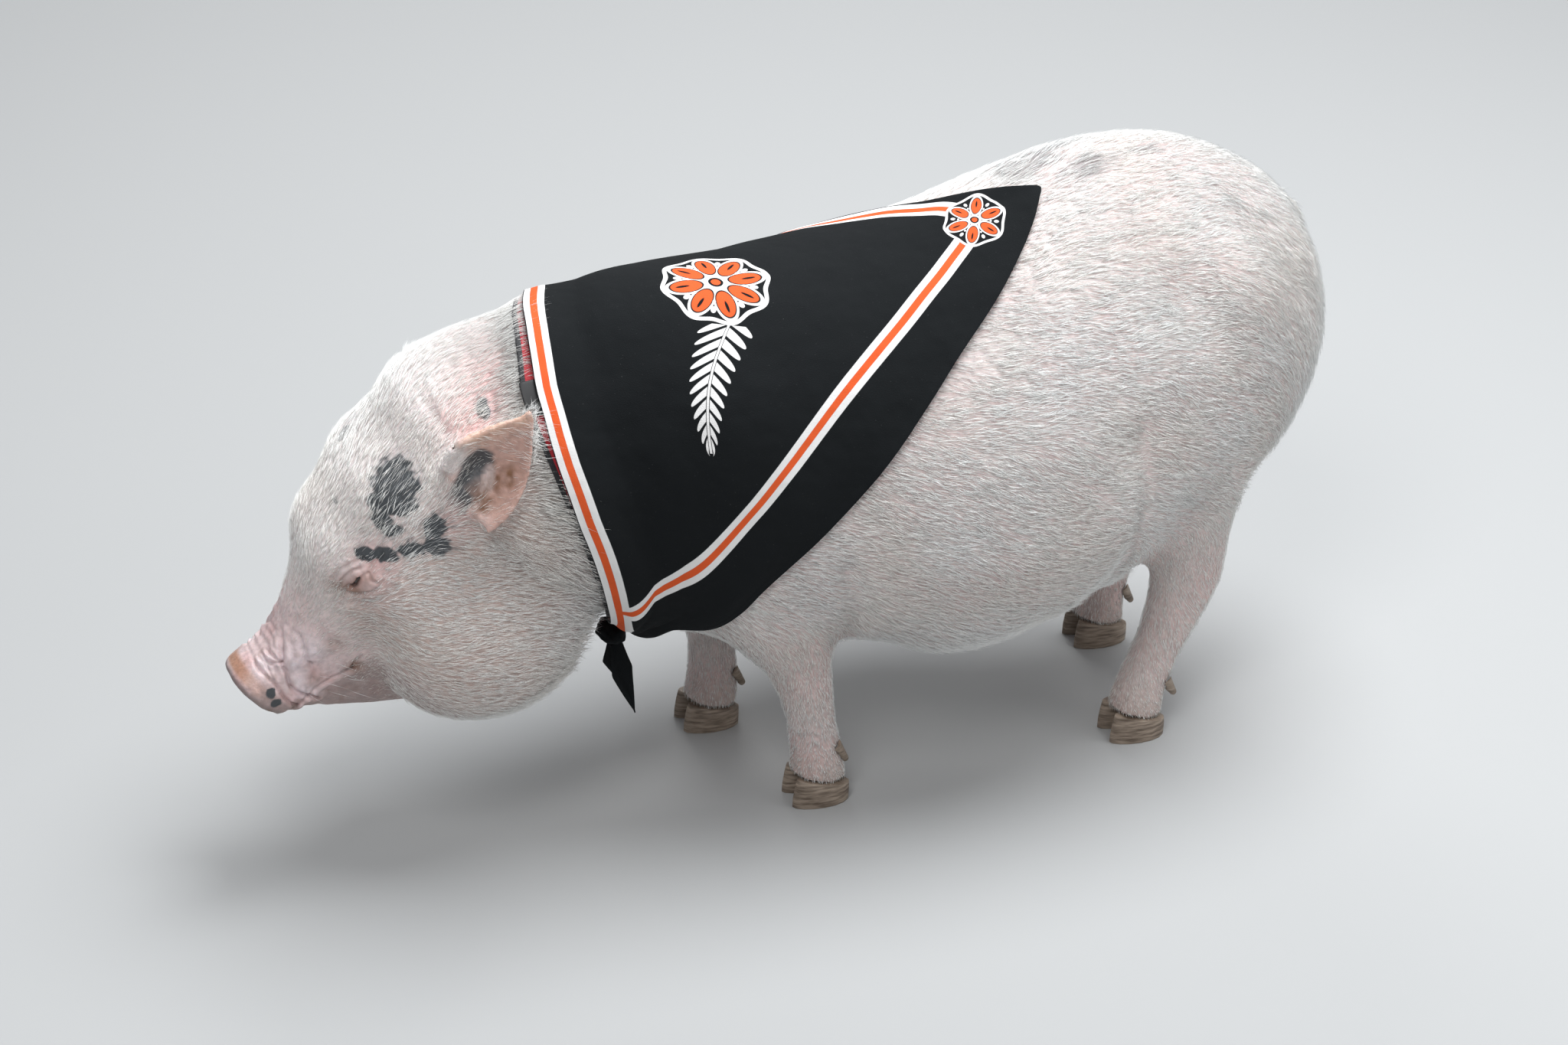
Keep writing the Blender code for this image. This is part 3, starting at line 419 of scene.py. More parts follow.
def earMarks(points, rows):
    return sum((earMark(points, *row) for row in rows), np.zeros(len(points)))


# the snout, the lids, the patches' edges and the ears keep or get finer faces
fineness = {"snoutBack": 0.092, "eye": (0.139, 0.026), "eyeReach": 0.034, "patchesAhead": -0.2}


def fineShare(points):
    back, rise, side = headPlace(points)
    eye = np.hypot(back - fineness["eye"][0], rise - fineness["eye"][1]) < fineness["eyeReach"]
    patches = (greyShare(points) > 0.01) & (points[:, 0] < fineness["patchesAhead"])
    return (back < fineness["snoutBack"]) | (eye & (side > eyePlace["side"])) | patches


def refineFace(skin):
    chosen = fineShare(readAll(skin.data.polygons, "center").astype(float))
    with editing(skin, "DESELECT"):
        pass  # clears what was selected
    skin.data.polygons.foreach_set("select", chosen)
    with editing(skin, None):
        bpy.ops.mesh.subdivide(number_cuts=1, smoothness=0)


refineFace(skin)
print("face refined", len(skin.data.polygons))

# folds: points (back, rise) on both sides of the face, depth, width, and how much the rims swell
faceFolds = {
    "mainFold": (
        [(0.0575, 0.0215), (0.05, 0.0165), (0.045, 0.012), (0.0397, 0.0066), (0.0343, -0.0012),
         (0.0286, -0.0112), (0.0286, -0.0177), (0.03, -0.0283), (0.0335, -0.037)], 0.0034, 0.0015, 0.9),
    "crossFold": (
        [(0.0332, 0.0186), (0.0318, 0.0155), (0.0336, 0.0139), (0.0376, 0.0117), (0.0408, 0.009)],
        0.0022, 0.001, 0.7),
    "behindDisc": (
        [(0.025, 0.029), (0.0248, 0.0198), (0.0234, 0.0157), (0.024, 0.0105), (0.024, 0.0058),
         (0.0232, 0.0), (0.0218, -0.0054), (0.0195, -0.011), (0.0175, -0.02), (0.0175, -0.03)],
        0.0026, 0.0013, 0.6),
    "secondFold": (
        [(0.0298, 0.0201), (0.0302, 0.0165), (0.0289, 0.0137), (0.0277, 0.0086), (0.0255, 0.0036)],
        0.0016, 0.0009, 0.6),
    "upperFold": (
        [(0.0344, 0.0243), (0.0375, 0.0214), (0.0389, 0.0165), (0.0401, 0.0121), (0.0411, 0.0092)],
        0.002, 0.0011, 0.7),
    "bulgeHighlightBack": (
        [(0.067, 0.016), (0.0624, 0.0083), (0.0576, 0.0027), (0.0542, -0.0021), (0.0543, -0.0072)],
        0.002, 0.0018, 0.7),
    "lowBulge": ([(0.0543, -0.0072), (0.05, -0.0145), (0.0435, -0.0196)], 0.0014, 0.0016, 0.6),
    "cheekFold": ([(0.083, 0.012), (0.08, 0.001), (0.081, -0.01)], 0.0012, 0.0026, 0.6),
    "cornerFold": ([(0.0713, -0.0368), (0.079, -0.031), (0.086, -0.03)], 0.0016, 0.0013, 0.6),
    "lidFold": (
        [(0.1225, 0.0307), (0.128, 0.0345), (0.133, 0.0362), (0.1409, 0.0368), (0.1454, 0.0351)],
        0.0016, 0.001, 0.7),
    "browFold": ([(0.124, 0.0395), (0.132, 0.0425), (0.142, 0.042), (0.152, 0.0385)], 0.0016, 0.0016, 0.8),
    "tearFold": ([(0.13, 0.0278), (0.1235, 0.027), (0.119, 0.024), (0.111, 0.017)], 0.0018, 0.0013, 0.5),
    "underLid": ([(0.1218, 0.024), (0.1288, 0.0192), (0.1399, 0.0163), (0.15, 0.018)], 0.0017, 0.0014, 0.7),
    "lowUnder": ([(0.116, 0.016), (0.128, 0.0105), (0.142, 0.0085), (0.154, 0.011)], 0.0013, 0.0022, 0.6),
    "lidEnd": ([(0.1385, 0.0302), (0.1468, 0.029), (0.156, 0.031), (0.166, 0.033)], 0.0015, 0.0011, 0.5),
    "crowFoot": ([(0.1468, 0.0285), (0.144, 0.024), (0.146, 0.0195)], 0.0013, 0.0009, 0.5),
}
# bulges: how far back and up their middles are, their reach and their height
faceBulges = [
    (0.0479, 0.0044, 0.008, 0.0042), (0.0665, 0.0015, 0.0105, 0.0036), (0.0372, -0.012, 0.006, 0.003),
    (0.0335, 0.026, 0.006, 0.0014), (0.021, 0.009, 0.005, 0.0014), (0.036, -0.024, 0.007, 0.0018),
    (0.14, 0.02, 0.01, 0.0016),
]
eyeSlit = {
    "line": [(0.1305, 0.028), (0.1342, 0.0289), (0.1385, 0.0303)], "width": 0.00075, "depth": 0.0012,
    "eyeball": 0.0103,      # its radius
}
snoutTop = {"from": 0.008, "drop": 0.26}
discRim = {"back": 0.0115, "low": 0.0075, "height": -0.001, "width": 0.006, "hollow": 0.0016}
mouthLine = {
    "line": [(0.01, -0.031), (0.022, -0.029), (0.04, -0.029), (0.058, -0.033), (0.072, -0.037)],
    "depth": 0.0017, "width": 0.0012, "lip": 0.0007, "lipOff": 0.0036, "lipWidth": 0.0022,
}
snoutRings = {"apart": 0.0068, "height": 0.0004, "lumps": 0.0007, "waver": 0.0035}
foldWaver = 0.001


def awayFromLine(places, line):
    best = np.full(len(places), 1.0)
    for first, second in zip(line, line[1:]):
        a, b = np.array(first), np.array(second)
        run = b - a
        t = np.clip(((places - a) @ run) / (run @ run), 0, 1)
        best = np.minimum(best, np.linalg.norm(places - a - t[:, None] * run, axis=1))
    return best


def foldFace(skin):
    points, normals = pointsOf(skin), normalsOf(skin)
    near = np.nonzero(headPlace(points)[0] < 0.2)[0]
    p, n = points[near], normals[near]
    # the snout is a little lower on top than its solid
    back, rise, side = headPlace(p)
    drop = snoutTop["drop"] * np.maximum(rise - snoutTop["from"], 0) * fade(back, 0.045, 0.085)
    p = p - headUp * drop[:, None]
    back, rise, side = headPlace(p)
    straight = np.column_stack([back, rise])
    places = straight + np.column_stack([cloudy(p, 0.007, 3), cloudy(p, 0.007, 4)]) * foldWaver
    onSide = ramp(side, 0.008, 0.016) * ramp(rise, -0.075, -0.055)
    move = np.zeros(len(near))
    for line, depth, width, rims in faceFolds.values():
        away = awayFromLine(places, line)
        groove = hump(away, width)
        rim = hump(away - 2.4 * width, 1.5 * width)
        move += onSide * depth * (rims * 0.45 * rim - groove)
    for middle, height, reach, swell in faceBulges:
        move += onSide * swell * np.exp(-((back - middle) ** 2 + (rise - height) ** 2) / reach ** 2)
    away = awayFromLine(straight, mouthLine["line"])
    mouthSide = ramp(side, 0.004, 0.012)
    move -= mouthSide * mouthLine["depth"] * hump(away, mouthLine["width"])
    move += mouthSide * mouthLine["lip"] * hump(away - mouthLine["lipOff"], mouthLine["lipWidth"])
    # the disc has a rim all round
    rimAt = discRim["low"] + (discRim["back"] - discRim["low"]) * ramp(rise, -0.025, 0.01)
    move += discRim["height"] * hump(back - rimAt, discRim["width"])
    # rings of wrinkles over the top of the snout, which cross both sides, and lumps
    along = back + cloudy(p, 0.012, 5) * snoutRings["waver"]
    rings = np.sin(2 * math.pi * along / snoutRings["apart"])
    band = ramp(back, 0.022, 0.028) * fade(back, 0.045, 0.068) * ramp(rise, 0.006, 0.02)
    move += band * snoutRings["height"] * rings
    lumps = cloudy(p, 0.0075, 6) * ramp(back, 0.018, 0.026) * fade(back, 0.075, 0.1)
    move += snoutRings["lumps"] * lumps
    p = p + n * move[:, None]
    # the disc's face is a little hollow
    face = fade(back, 0.004, 0.009) * fade(np.hypot(side, rise), 0.018, 0.026)
    p = p + headBack * (face * discRim["hollow"])[:, None]
    # the slit between the lids lies deeper than the eyeball's surface, so the ball shows in it
    slit = np.exp(-(awayFromLine(straight, eyeSlit["line"]) / eyeSlit["width"]) ** 4) * ramp(side, 0.03, 0.04)
    for name in ("eye_left", "eye_right"):
        off = p - sum(boxOf(name)) / 2
        away = np.linalg.norm(off, axis=1)
        share = slit * (away < 0.02)
        p = p - off / away[:, None] * (share * (away - eyeSlit["eyeball"] + eyeSlit["depth"]))[:, None]
    points[near] = p
    putPoints(skin, points)


foldFace(skin)

# big soft forms: the creases of flank, elbow and hip, and the one where an ear meets the head;
# each is a line of points (x, z) at y from the middle, its depth and its width
bodyFolds = {
    "earFront": ([(-0.3079, 0.4125), (-0.3032, 0.4035), (-0.2985, 0.394)], 0.0445, 0.0026, 0.0028),
    "flank": ([(0.243, 0.33), (0.25, 0.27), (0.243, 0.205), (0.226, 0.165)], 0.1, 0.006, 0.014),
    "elbow": ([(-0.005, 0.25), (0.01, 0.205), (0.012, 0.165)], 0.1, 0.004, 0.012),
    "hip": ([(0.3, 0.43), (0.33, 0.4), (0.372, 0.385)], 0.1, 0.003, 0.024),
}


def foldBody(skin):
    points, normals = pointsOf(skin), normalsOf(skin)
    behind = (points[:, 0] > -0.06) & (np.abs(points[:, 1]) > 0.05)
    near = np.nonzero(behind | (points[:, 0] < -0.25))[0]
    p = points[near]
    move = np.zeros(len(near))
    for line, out, depth, width in bodyFolds.values():
        away = awayFromLine(p[:, [0, 2]] - animalMiddle[[0, 2]], line)
        off = np.abs(np.abs(p[:, 1]) - out)
        move -= depth * hump(away, width) * fade(off, 0.03, 0.1)
    points[near] = p + normals[near] * move[:, None]
    putPoints(skin, points)


foldBody(skin)

# the left ear's forms: a line that swells or sinks, its height and its reach
earForms = {
    "frontEdge": (
        [(-0.306, -0.08, 0.39), (-0.295, -0.0868, 0.3985), (-0.269, -0.0885, 0.41),
         (-0.248, -0.093, 0.418)], 0.0017, 0.0046),
    "hollow": (
        [(-0.2967, -0.0865, 0.3491), (-0.289, -0.0854, 0.3656), (-0.283, -0.085, 0.375)], -0.0065, 0.0075),
    "dip": ([(-0.278, -0.09, 0.356), (-0.274, -0.0915, 0.368)], -0.0012, 0.006),
    "ridge": ([(-0.27, -0.093, 0.36), (-0.26, -0.095, 0.38)], 0.0008, 0.005),
    "lobe": (
        [(-0.2935, -0.093, 0.3345), (-0.286, -0.0964, 0.332), (-0.276, -0.0975, 0.336)], 0.0024, 0.006),
}
lobeCorner = (-0.281, -0.098, 0.327)


def formEars(skin):
    points, normals = pointsOf(skin), normalsOf(skin)
    near = np.nonzero(nearEars(points, 0.012) < 0.011)[0]
    p = points[near]
    left = p[:, 1] < 0
    # the right ear is worked at the left one's place
    there = np.where(left[:, None], p, (p - rightEarOff) * np.array([1, -1, 1]))
    facing = ramp(insideFacing(p, normals[near]), 0.0, 0.35)
    move = np.zeros(len(near))
    for line, height, reach in earForms.values():
        move += height * hump(awayFromLine(there, line), reach) * (facing if height < 0 else 1)
    points[near] = p + normals[near] * move[:, None]
    putPoints(skin, points)
    share = np.zeros(len(points))
    share[near] = fade(np.linalg.norm(there - np.array(lobeCorner), axis=1), 0.005, 0.01)
    smoothPart(skin, share, skinSize["lobeRounds"])


formEars(skin)


def thinSkin(skin):
    # the fine places keep their faces
    points = pointsOf(skin)
    fine = fineShare(points) | (nearEars(points, 0.004) < 0.003)
    group = skin.vertex_groups.new(name="thinned")
    group.add(np.nonzero(~fine)[0].tolist(), 1.0, "REPLACE")
    ratio = min(1.0, skinSize["faces"] / len(trianglesOf(skin)))
    modify(skin, "DECIMATE", vertex_group="thinned", ratio=ratio)
    shadeSmooth(skin)


thinSkin(skin)
print("skin has", len(skin.data.polygons), "faces")

# colours of the skin and the hair
skinColours = {
    "body": (0.745, 0.66, 0.64),
    "pink": (0.7, 0.4, 0.385),
    # pale is the real pale skin at the ears' bases, and painted light on the top of the head
    "pale": (0.76, 0.69, 0.675),
    "snout": (0.69, 0.53, 0.525),
    # bulge is a painted highlight on the face's swells
    "bulgeHighlight": (0.8, 0.7, 0.725),
    "rim": (0.44, 0.215, 0.12),
    # disc is painted shade on the snout's disc
    "disc": (0.21, 0.155, 0.15),
    # under is painted shade beneath the snout, the disc and the head
    "under": (0.3, 0.225, 0.205),
    "jowl": (0.5, 0.365, 0.315),
    # grey is the real grey patches, and in the ears a band of painted shade
    "grey": (0.06, 0.066, 0.072),
    # stain is real stains, and in the ears also painted shade
    "stainAndShade": (0.22, 0.105, 0.055),
    "ear": (0.55, 0.345, 0.29),
    "earEdge": (0.74, 0.49, 0.37),
    "lobe": (0.72, 0.52, 0.47),
    "leg": (0.62, 0.52, 0.495),
    "slit": (0.035, 0.014, 0.008),
    "lid": (0.42, 0.23, 0.19),
    "eyelids": (0.52, 0.35, 0.33),
    "dirt": (0.3, 0.23, 0.16),
}
hairColours = {"white": (0.93, 0.94, 0.93), "warm": (0.9, 0.86, 0.8), "grey": (0.22, 0.23, 0.24)}
# marks on both sides of the face: colour, strength, how far back and up, and reach
faceMarks = [
    # the pale bulge marks are painted highlights where the swells catch the light
    ("bulgeHighlight", 0.85, 0.048, 0.0045, 0.01), ("bulgeHighlight", 0.85, 0.0665, 0.0015, 0.013),
    ("bulgeHighlight", 0.85, 0.03, 0.02, 0.009), ("bulgeHighlight", 0.85, 0.037, -0.012, 0.008),
    ("bulgeHighlight", 0.85, 0.033, -0.022, 0.008), ("eyelids", 0.6, 0.14, 0.022, 0.02),
    ("pink", 0.55, 0.16, 0.031, 0.014),
]
# stains: strength, how far back and up, and reach
faceStains = [
    (0.75, 0.129, 0.024, 0.0055), (0.55, 0.122, 0.032, 0.007), (0.85, 0.0745, -0.036, 0.0065),
    (0.45, 0.079, -0.006, 0.01), (0.4, 0.045, -0.0205, 0.008), (0.35, 0.145, 0.026, 0.004),
]
# pink skin on both sides: place, reach and strength
pinkPlaces = [
    (-0.258, 0.045, 0.425, 0.03, 0.8), (-0.286, 0.07, 0.402, 0.026, 0.9), (-0.3, 0.085, 0.33, 0.018, 0.5),
]
# marks in the ears: places and reach; the stains are real stains and painted shade in the hollows, and the
# band is painted shade
earStainsAndShade = [
    (-0.278, 0.0912, 0.357, 0.012), (-0.2635, 0.0947, 0.369, 0.0105), (-0.288, 0.09, 0.345, 0.0095),
]
earEdges = [
    (-0.288, 0.085, 0.402, 0.012), (-0.27, 0.088, 0.409, 0.01), (-0.252, 0.092, 0.416, 0.01),
]
# a band of painted shade in each ear's hollow
earShadeBand = [
    (-0.2985, 0.0835, 0.346, 0.0082), (-0.2945, 0.0805, 0.356, 0.0082), (-0.2905, 0.0795, 0.365, 0.0082),
    (-0.286, 0.0805, 0.374, 0.0082), (-0.28, 0.083, 0.381, 0.0082),
]
hollowPlaces = [
    (-0.2945, 0.088, 0.352, 0.0105), (-0.288, 0.087, 0.364, 0.0105), (-0.279, 0.087, 0.376, 0.0105),
    (-0.277, 0.092, 0.357, 0.0105), (-0.265, 0.095, 0.37, 0.0105),
]
earBaseSpot = (-0.306, 0.079, 0.383, 0.0135)
lobeSpot = (-0.287, 0.096, 0.332, 0.01)
# where painted shade darkens the hair behind the crest
crestShadeSpot = (-0.245, 0.03, 0.445, 0.055)
# how strongly each colour covers its place
skinShares = {
    "pink": 0.14, "crown": 0.85, "jowl": 0.75, "snout": 0.85, "flush": 0.4, "disc": 0.9, "under": 0.75,
    "shadeUnderDisc": 0.72, "rim": 0.42, "rimTop": 0.48, "flecks": 0.22, "earEdge": 0.8, "earBase": 1.2,
    "lobe": 1.2, "earStainAndShade": 1.1, "earShadeBand": 1.2, "band": 0.95, "lid": 0.7, "dirt": 0.35,
}
hairShares = {"warm": 0.35, "warmClouds": 0.35, "warmSpread": 0.25, "greyTufts": 0.55, "shadeBehindCrest": 0.16}


def mixIn(colours, colour, share):
    return blend(colours, np.array(colour), np.clip(share, 0, 1)[:, None])


def earBase(points):
    # 1 where an ear's front edge runs into the white hair of the head
    return np.clip(1.5 * earMark(points, *earBaseSpot), 0, 1)


def onFaceSide(back, rise, side, middle, height, reach):
    return np.exp(-((back - middle) ** 2 + (rise - height) ** 2) / reach ** 2) * ramp(side, 0.01, 0.02)


def skinTone(points, normals, ear):
    place = headPlace(points)
    back, rise, side = place
    tone = np.tile(np.array(skinColours["body"]), (len(points), 1))

    def colour(name, share, strength=None):
        nonlocal tone
        tone = mixIn(tone, skinColours[name], share if strength is None else skinShares[strength] * share)

    # large regions
    colour("leg", legShare(points))
    colour("pink", skinShares["pink"] + 0.2 * cloudy(points, 0.035, 21) + 0.1 * cloudy(points, 0.01, 22))
    # painted light: the skin is paler where the head faces up, as the top of the head is lit
    crown = ramp(normals @ headUp, 0.25, 0.75) * fade(points[:, 0], -0.28, -0.24) * ramp(back, 0.06, 0.11)
    colour("pale", crown, "crown")
    jowl = ramp(side, 0.03, 0.055) * fade(rise, -0.01, 0.055) * ramp(back, 0.085, 0.12)
    colour("jowl", jowl * fade(points[:, 0], -0.24, -0.2), "jowl")
    # face and snout
    onFace = fade(back, 0.06, 0.11)
    colour("snout", onFace, "snout")
    colour("pink", onFace * ramp(cloudy(points, 0.012, 23), -0.1, 0.7), "flush")
    # painted shade: the snout's disc is darker, as its face turns down and away from the light
    colour("disc", fade(back, 0.003, 0.008), "disc")
    # painted shade: darker under the snout and the jaw, and wherever the head's skin faces down
    shadedUnderside = fade(rise, -0.046, -0.028) * fade(back, 0.085, 0.12)
    shadedUnderside += 0.8 * ramp(-normals @ headUp, 0.35, 0.8) * fade(back, 0.14, 0.2)
    colour("under", np.minimum(shadedUnderside, 1), "under")
    for name, strength, *spot in faceMarks:
        colour(name, strength * onFaceSide(*place, *spot))
    for *spot, strength in pinkPlaces:
        for share in closeToBoth(points, *spot):
            colour("pink", strength * share)
    rim = ramp(back, 0.005, 0.01) * fade(back, 0.015, 0.0205) * ramp(rise, -0.012, 0.012)
    colour("rim", (skinShares["rim"] + skinShares["rimTop"] * ramp(rise, 0.012, 0.028)) * rim)
    # painted shade below the disc
    colour("under", fade(back, 0.013, 0.022) * fade(rise, 0.0, 0.014), "shadeUnderDisc")
    stainAndShade = sum(strength * onFaceSide(*place, *spot) for strength, *spot in faceStains)
    stainAndShade += skinShares["flecks"] * fade(back, 0.05, 0.08) * ramp(cloudy(points, 0.006, 24), 0.15, 0.8)
    # ears
    lining = insideEar(points, normals, ear)
    colour("ear", ear * (0.45 + 0.55 * lining / np.maximum(ear, 0.01)))
    for spot in earEdges:
        colour("earEdge", earMark(points, *spot), "earEdge")
    colour("pale", earBase(points), "earBase")
    colour("lobe", earMark(points, *lobeSpot), "lobe")
    # the ears' stains are real stains and also painted shade that deepens the hollows
    stainAndShade += skinShares["earStainAndShade"] * earMarks(points, earStainsAndShade) * (0.6 + 0.6 * cloudy(points, 0.004, 25))
    colour("stainAndShade", stainAndShade)
    # painted shade: a near-black band in each ear gives its hollow depth
    band = skinShares["earShadeBand"] * earMarks(points, earShadeBand)
    colour("grey", ramp(band + 0.25 * cloudy(points, 0.004, 26), 0.25, 0.8), "band")
    # lids, patches and feet
    away = awayFromLine(np.column_stack([back, rise]), eyeSlit["line"])
    lidSide = ramp(side, 0.03, 0.04)
    colour("lid", hump(away, 0.0042) * lidSide, "lid")
    colour("slit", hump(away, 0.0016) * lidSide)
    colour("grey", greyShare(points))
    colour("dirt", fade(points[:, 2], 0.01, 0.07), "dirt")
    return tone


def hairTone(points, count):
    tone = np.tile(np.array(hairColours["white"]), (count, 1))
    warm = hairShares["warm"] + hairShares["warmClouds"] * cloudy(points, 0.05, 31)
    tone = mixIn(tone, hairColours["warm"], warm + hairShares["warmSpread"] * dice.uniform(-1, 1, count))
    dark = greyShare(points) * (dice.random(count) < hairShares["greyTufts"])
    tone = mixIn(tone, hairColours["grey"], dark * dice.uniform(0.4, 1.0, count))
    # painted shade: the hair behind the crest is darker
    shadeBehindCrest = np.minimum(sum(closeToBoth(points, *crestShadeSpot)), 1)
    return tone * (dice.uniform(0.9, 1.04, count) * (1 - hairShares["shadeBehindCrest"] * shadeBehindCrest))[:, None]


def newMaterial(name, colour, roughness):
    made = bpy.data.materials.new(name)
    made.use_nodes = True
    shader = made.node_tree.nodes["Principled BSDF"]
    setInputs(shader, {"Base Color": (*colour, 1), "Roughness": roughness})
    return made, made.node_tree, shader


def setInputs(node, inputs):
    # an input takes a value, or a link from another node's output
    for place, value in inputs.items():
        if isinstance(value, bpy.types.NodeSocket):
            node.id_data.links.new(value, node.inputs[place])
        else:
            node.inputs[place].default_value = value


def addNode(tree, kind, inputs=None, **settings):
    node = tree.nodes.new("ShaderNode" + kind)
    for key, value in settings.items():
        setattr(node, key, value)
    setInputs(node, inputs or {})
    return node


def attributeOf(tree, name, output="Fac"):
    return addNode(tree, "Attribute", attribute_name=name).outputs[output]


def ownPlace(tree):
    return addNode(tree, "TexCoord").outputs["Object"]


def noiseOf(tree, scale, detail, place=None):
    place = place or ownPlace(tree)
    return addNode(tree, "TexNoise", {"Vector": place, "Scale": scale, "Detail": detail}).outputs["Fac"]


def mapRange(tree, value, low, high, toLow=0.0, toHigh=1.0):
    ends = {"From Min": low, "From Max": high, "To Min": toLow, "To Max": toHigh}
    return addNode(tree, "MapRange", {"Value": value, **ends}).outputs["Result"]


def mixOf(tree, share, first, second):
    # a colour between two, each given by its numbers or by another node
    first, second = ((*colour, 1) if isinstance(colour, tuple) else colour for colour in (first, second))
    return addNode(tree, "Mix", {"Factor": share, 6: first, 7: second}, data_type="RGBA").outputs[2]


def bumpFrom(tree, shader, height, size, under=None):
    # a bump with this distance and strength, over another one if there is one
    bump = addNode(tree, "Bump", {"Height": height, "Distance": size["depth"], "Strength": size["strength"]})
    if under:
        setInputs(bump, {"Normal": under.outputs["Normal"]})
    setInputs(shader, {"Normal": bump.outputs["Normal"]})
    return bump


def grain(tree, shader, size, under=None):
    # bumps from noise of this scale and detail
    return bumpFrom(tree, shader, noiseOf(tree, size["scale"], size["detail"]), size, under)


skinFinish = {
    "roughness": 0.52, "speckle": 190.0, "darkest": 0.82, "lightest": 1.1,
    "pores": {"scale": 420.0, "detail": 2.0, "depth": 0.0006, "strength": 0.6},
    "cells": {"scale": 260.0, "depth": 0.0005, "strength": 0.5},
    "bleed": {
        "Subsurface Weight": 0.12, "Subsurface Radius": (0.6, 0.25, 0.15), "Subsurface Scale": 0.006,
    },
}
hairFinish = {"roughness": 0.42, "sheen": 0.15}


def skinMaterial():
    made, tree, shader = newMaterial("skin", skinColours["body"], skinFinish["roughness"])
    speckle = noiseOf(tree, skinFinish["speckle"], 4.0)
    vary = mapRange(tree, speckle, 0.3, 0.7, skinFinish["darkest"], skinFinish["lightest"])
    tone = attributeOf(tree, "tone", "Color")
    scaled = addNode(tree, "VectorMath", {0: tone, "Scale": vary}, operation="SCALE")
    setInputs(shader, {"Base Color": scaled.outputs["Vector"], **skinFinish["bleed"]})
    first = grain(tree, shader, skinFinish["pores"])
    size = skinFinish["cells"]
    places = {"Scale": size["scale"], "Vector": ownPlace(tree)}
    cells = addNode(tree, "TexVoronoi", places, feature="DISTANCE_TO_EDGE")
    bumpFrom(tree, shader, cells.outputs["Distance"], size, first)
    return made


def hairMaterial():
    made, tree, shader = newMaterial("white hair", hairColours["white"], hairFinish["roughness"])
    setInputs(shader, {"Base Color": attributeOf(tree, "tone", "Color"), "Sheen Weight": hairFinish["sheen"]})
    return made


def finishPiece(obj, material, slotName, *nodes):
    obj.data.materials.clear()
    obj.data.materials.append(material)
    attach(obj, "root")
    if nodes:
        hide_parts(*nodes)


skinPoints, skinNormals = pointsOf(skin), normalsOf(skin)
skinEar = fade(nearEars(skinPoints, 0.012), 0.002, 0.006)
setAttribute(skin, "tone", skinTone(skinPoints, skinNormals, skinEar))
finishPiece(skin, skinMaterial(), "haired_skin", *fleshNames)
print("skin coloured")

# neckerchief and collar: angles round the neck, in degrees, and x of their edges there
clothSize = {
    "tip": -9.5, "thick": 0.0015, "off": 0.0012, "offFront": 0.0062, "ease": 0.03,
    "around": 345, "along": 110,
    "foldDepth": 0.0052, "lipLift": 0.0016, "tipLift": 0.0022, "hem": 0.0006, "leastGap": 0.0008,
    "front": [
        (-172, -0.16), (-158, -0.168), (-134, -0.183), (-120, -0.191), (-102, -0.202), (-89, -0.211),
        (-75, -0.218), (-63, -0.224), (-53, -0.227), (-34, -0.23), (-17, -0.225), (0, -0.2165), (10, -0.208),
        (20, -0.1995), (32, -0.194), (50, -0.193), (80, -0.196), (103, -0.195), (131, -0.184), (158, -0.168),
        (172, -0.16),
    ],
    "rear": [
        (-172, -0.142), (-149, -0.124), (-119, -0.064), (-83, 0.025), (-52, 0.099), (-36, 0.146),
        (-22, 0.182), (-14, 0.2), (-9.5, 0.2085), (-5, 0.182), (1, 0.149), (7, 0.122), (13, 0.096),
        (30, 0.042), (52, -0.016), (80, -0.071), (110, -0.11), (149, -0.138), (172, -0.144),
    ],
}
collarSize = {
    "width": 0.019, "thick": 0.002, "off": 0.0016, "bevel": 0.0006,
    "line": [
        (-180, -0.146), (-131, -0.178), (-80, -0.209), (-59, -0.22), (-45, -0.227), (-31, -0.229),
        (-17, -0.2235), (0, -0.215), (10, -0.2065), (20, -0.198), (32, -0.193), (50, -0.192), (80, -0.194),
        (131, -0.178), (180, -0.146),
    ],
    "slide": (-43, -30), "slideThick": 0.0026, "slideBevel": 0.0007,
}
wrapHeight = 0.32  # the angles round the neck turn about a line at this height
bodyTree = treeOf(skin, skinEar < 0.05)


def lineAround(rows, corner=None):
    # x along the body as a smooth function of the angle round the neck, with a corner kept sharp
    angles, values = zip(*rows)
    fine = np.arange(-180, 180.5, 0.5)
    level = np.interp(fine, angles, values)
    sharp = level.copy()
    for _ in range(90):
        level[1:-1] = (level[:-2] + 2 * level[1:-1] + level[2:]) / 4
    if corner is not None:
        level = blend(level, sharp, hump(fine - corner, 4.5))
    return lambda turn: np.interp(turn, fine, level)


frontEdge, collarMiddle = lineAround(clothSize["front"]), lineAround(collarSize["line"])
rearEdge = lineAround(clothSize["rear"], clothSize["tip"])


def aroundNeck(points):
    local = points - animalMiddle
    return np.degrees(np.arctan2(local[:, 1], local[:, 2] - wrapHeight)), local[:, 0]


def ontoBody(turn, x):
    # the places on the skin at these angles and distances, and the way out there
    a = np.radians(turn)
    out = np.column_stack([np.zeros(len(a)), np.sin(a), np.cos(a)])
    axis = np.column_stack([x, np.zeros(len(a)), np.full(len(a), wrapHeight)]) + animalMiddle
    places = np.empty_like(axis)
    for k in range(len(a)):
        hit = bodyTree.ray_cast(Vector(axis[k] + out[k] * 0.4), Vector(-out[k]))[0]
        places[k] = hit if hit is not None else axis[k] + out[k] * 0.12
    return places, out


def gridOver(turns, rows):
    # the angle and the share across at each point of a grid
    turn, share = np.meshgrid(turns, np.linspace(0, 1, rows), indexing="ij")
    return turn.ravel(), share.ravel()


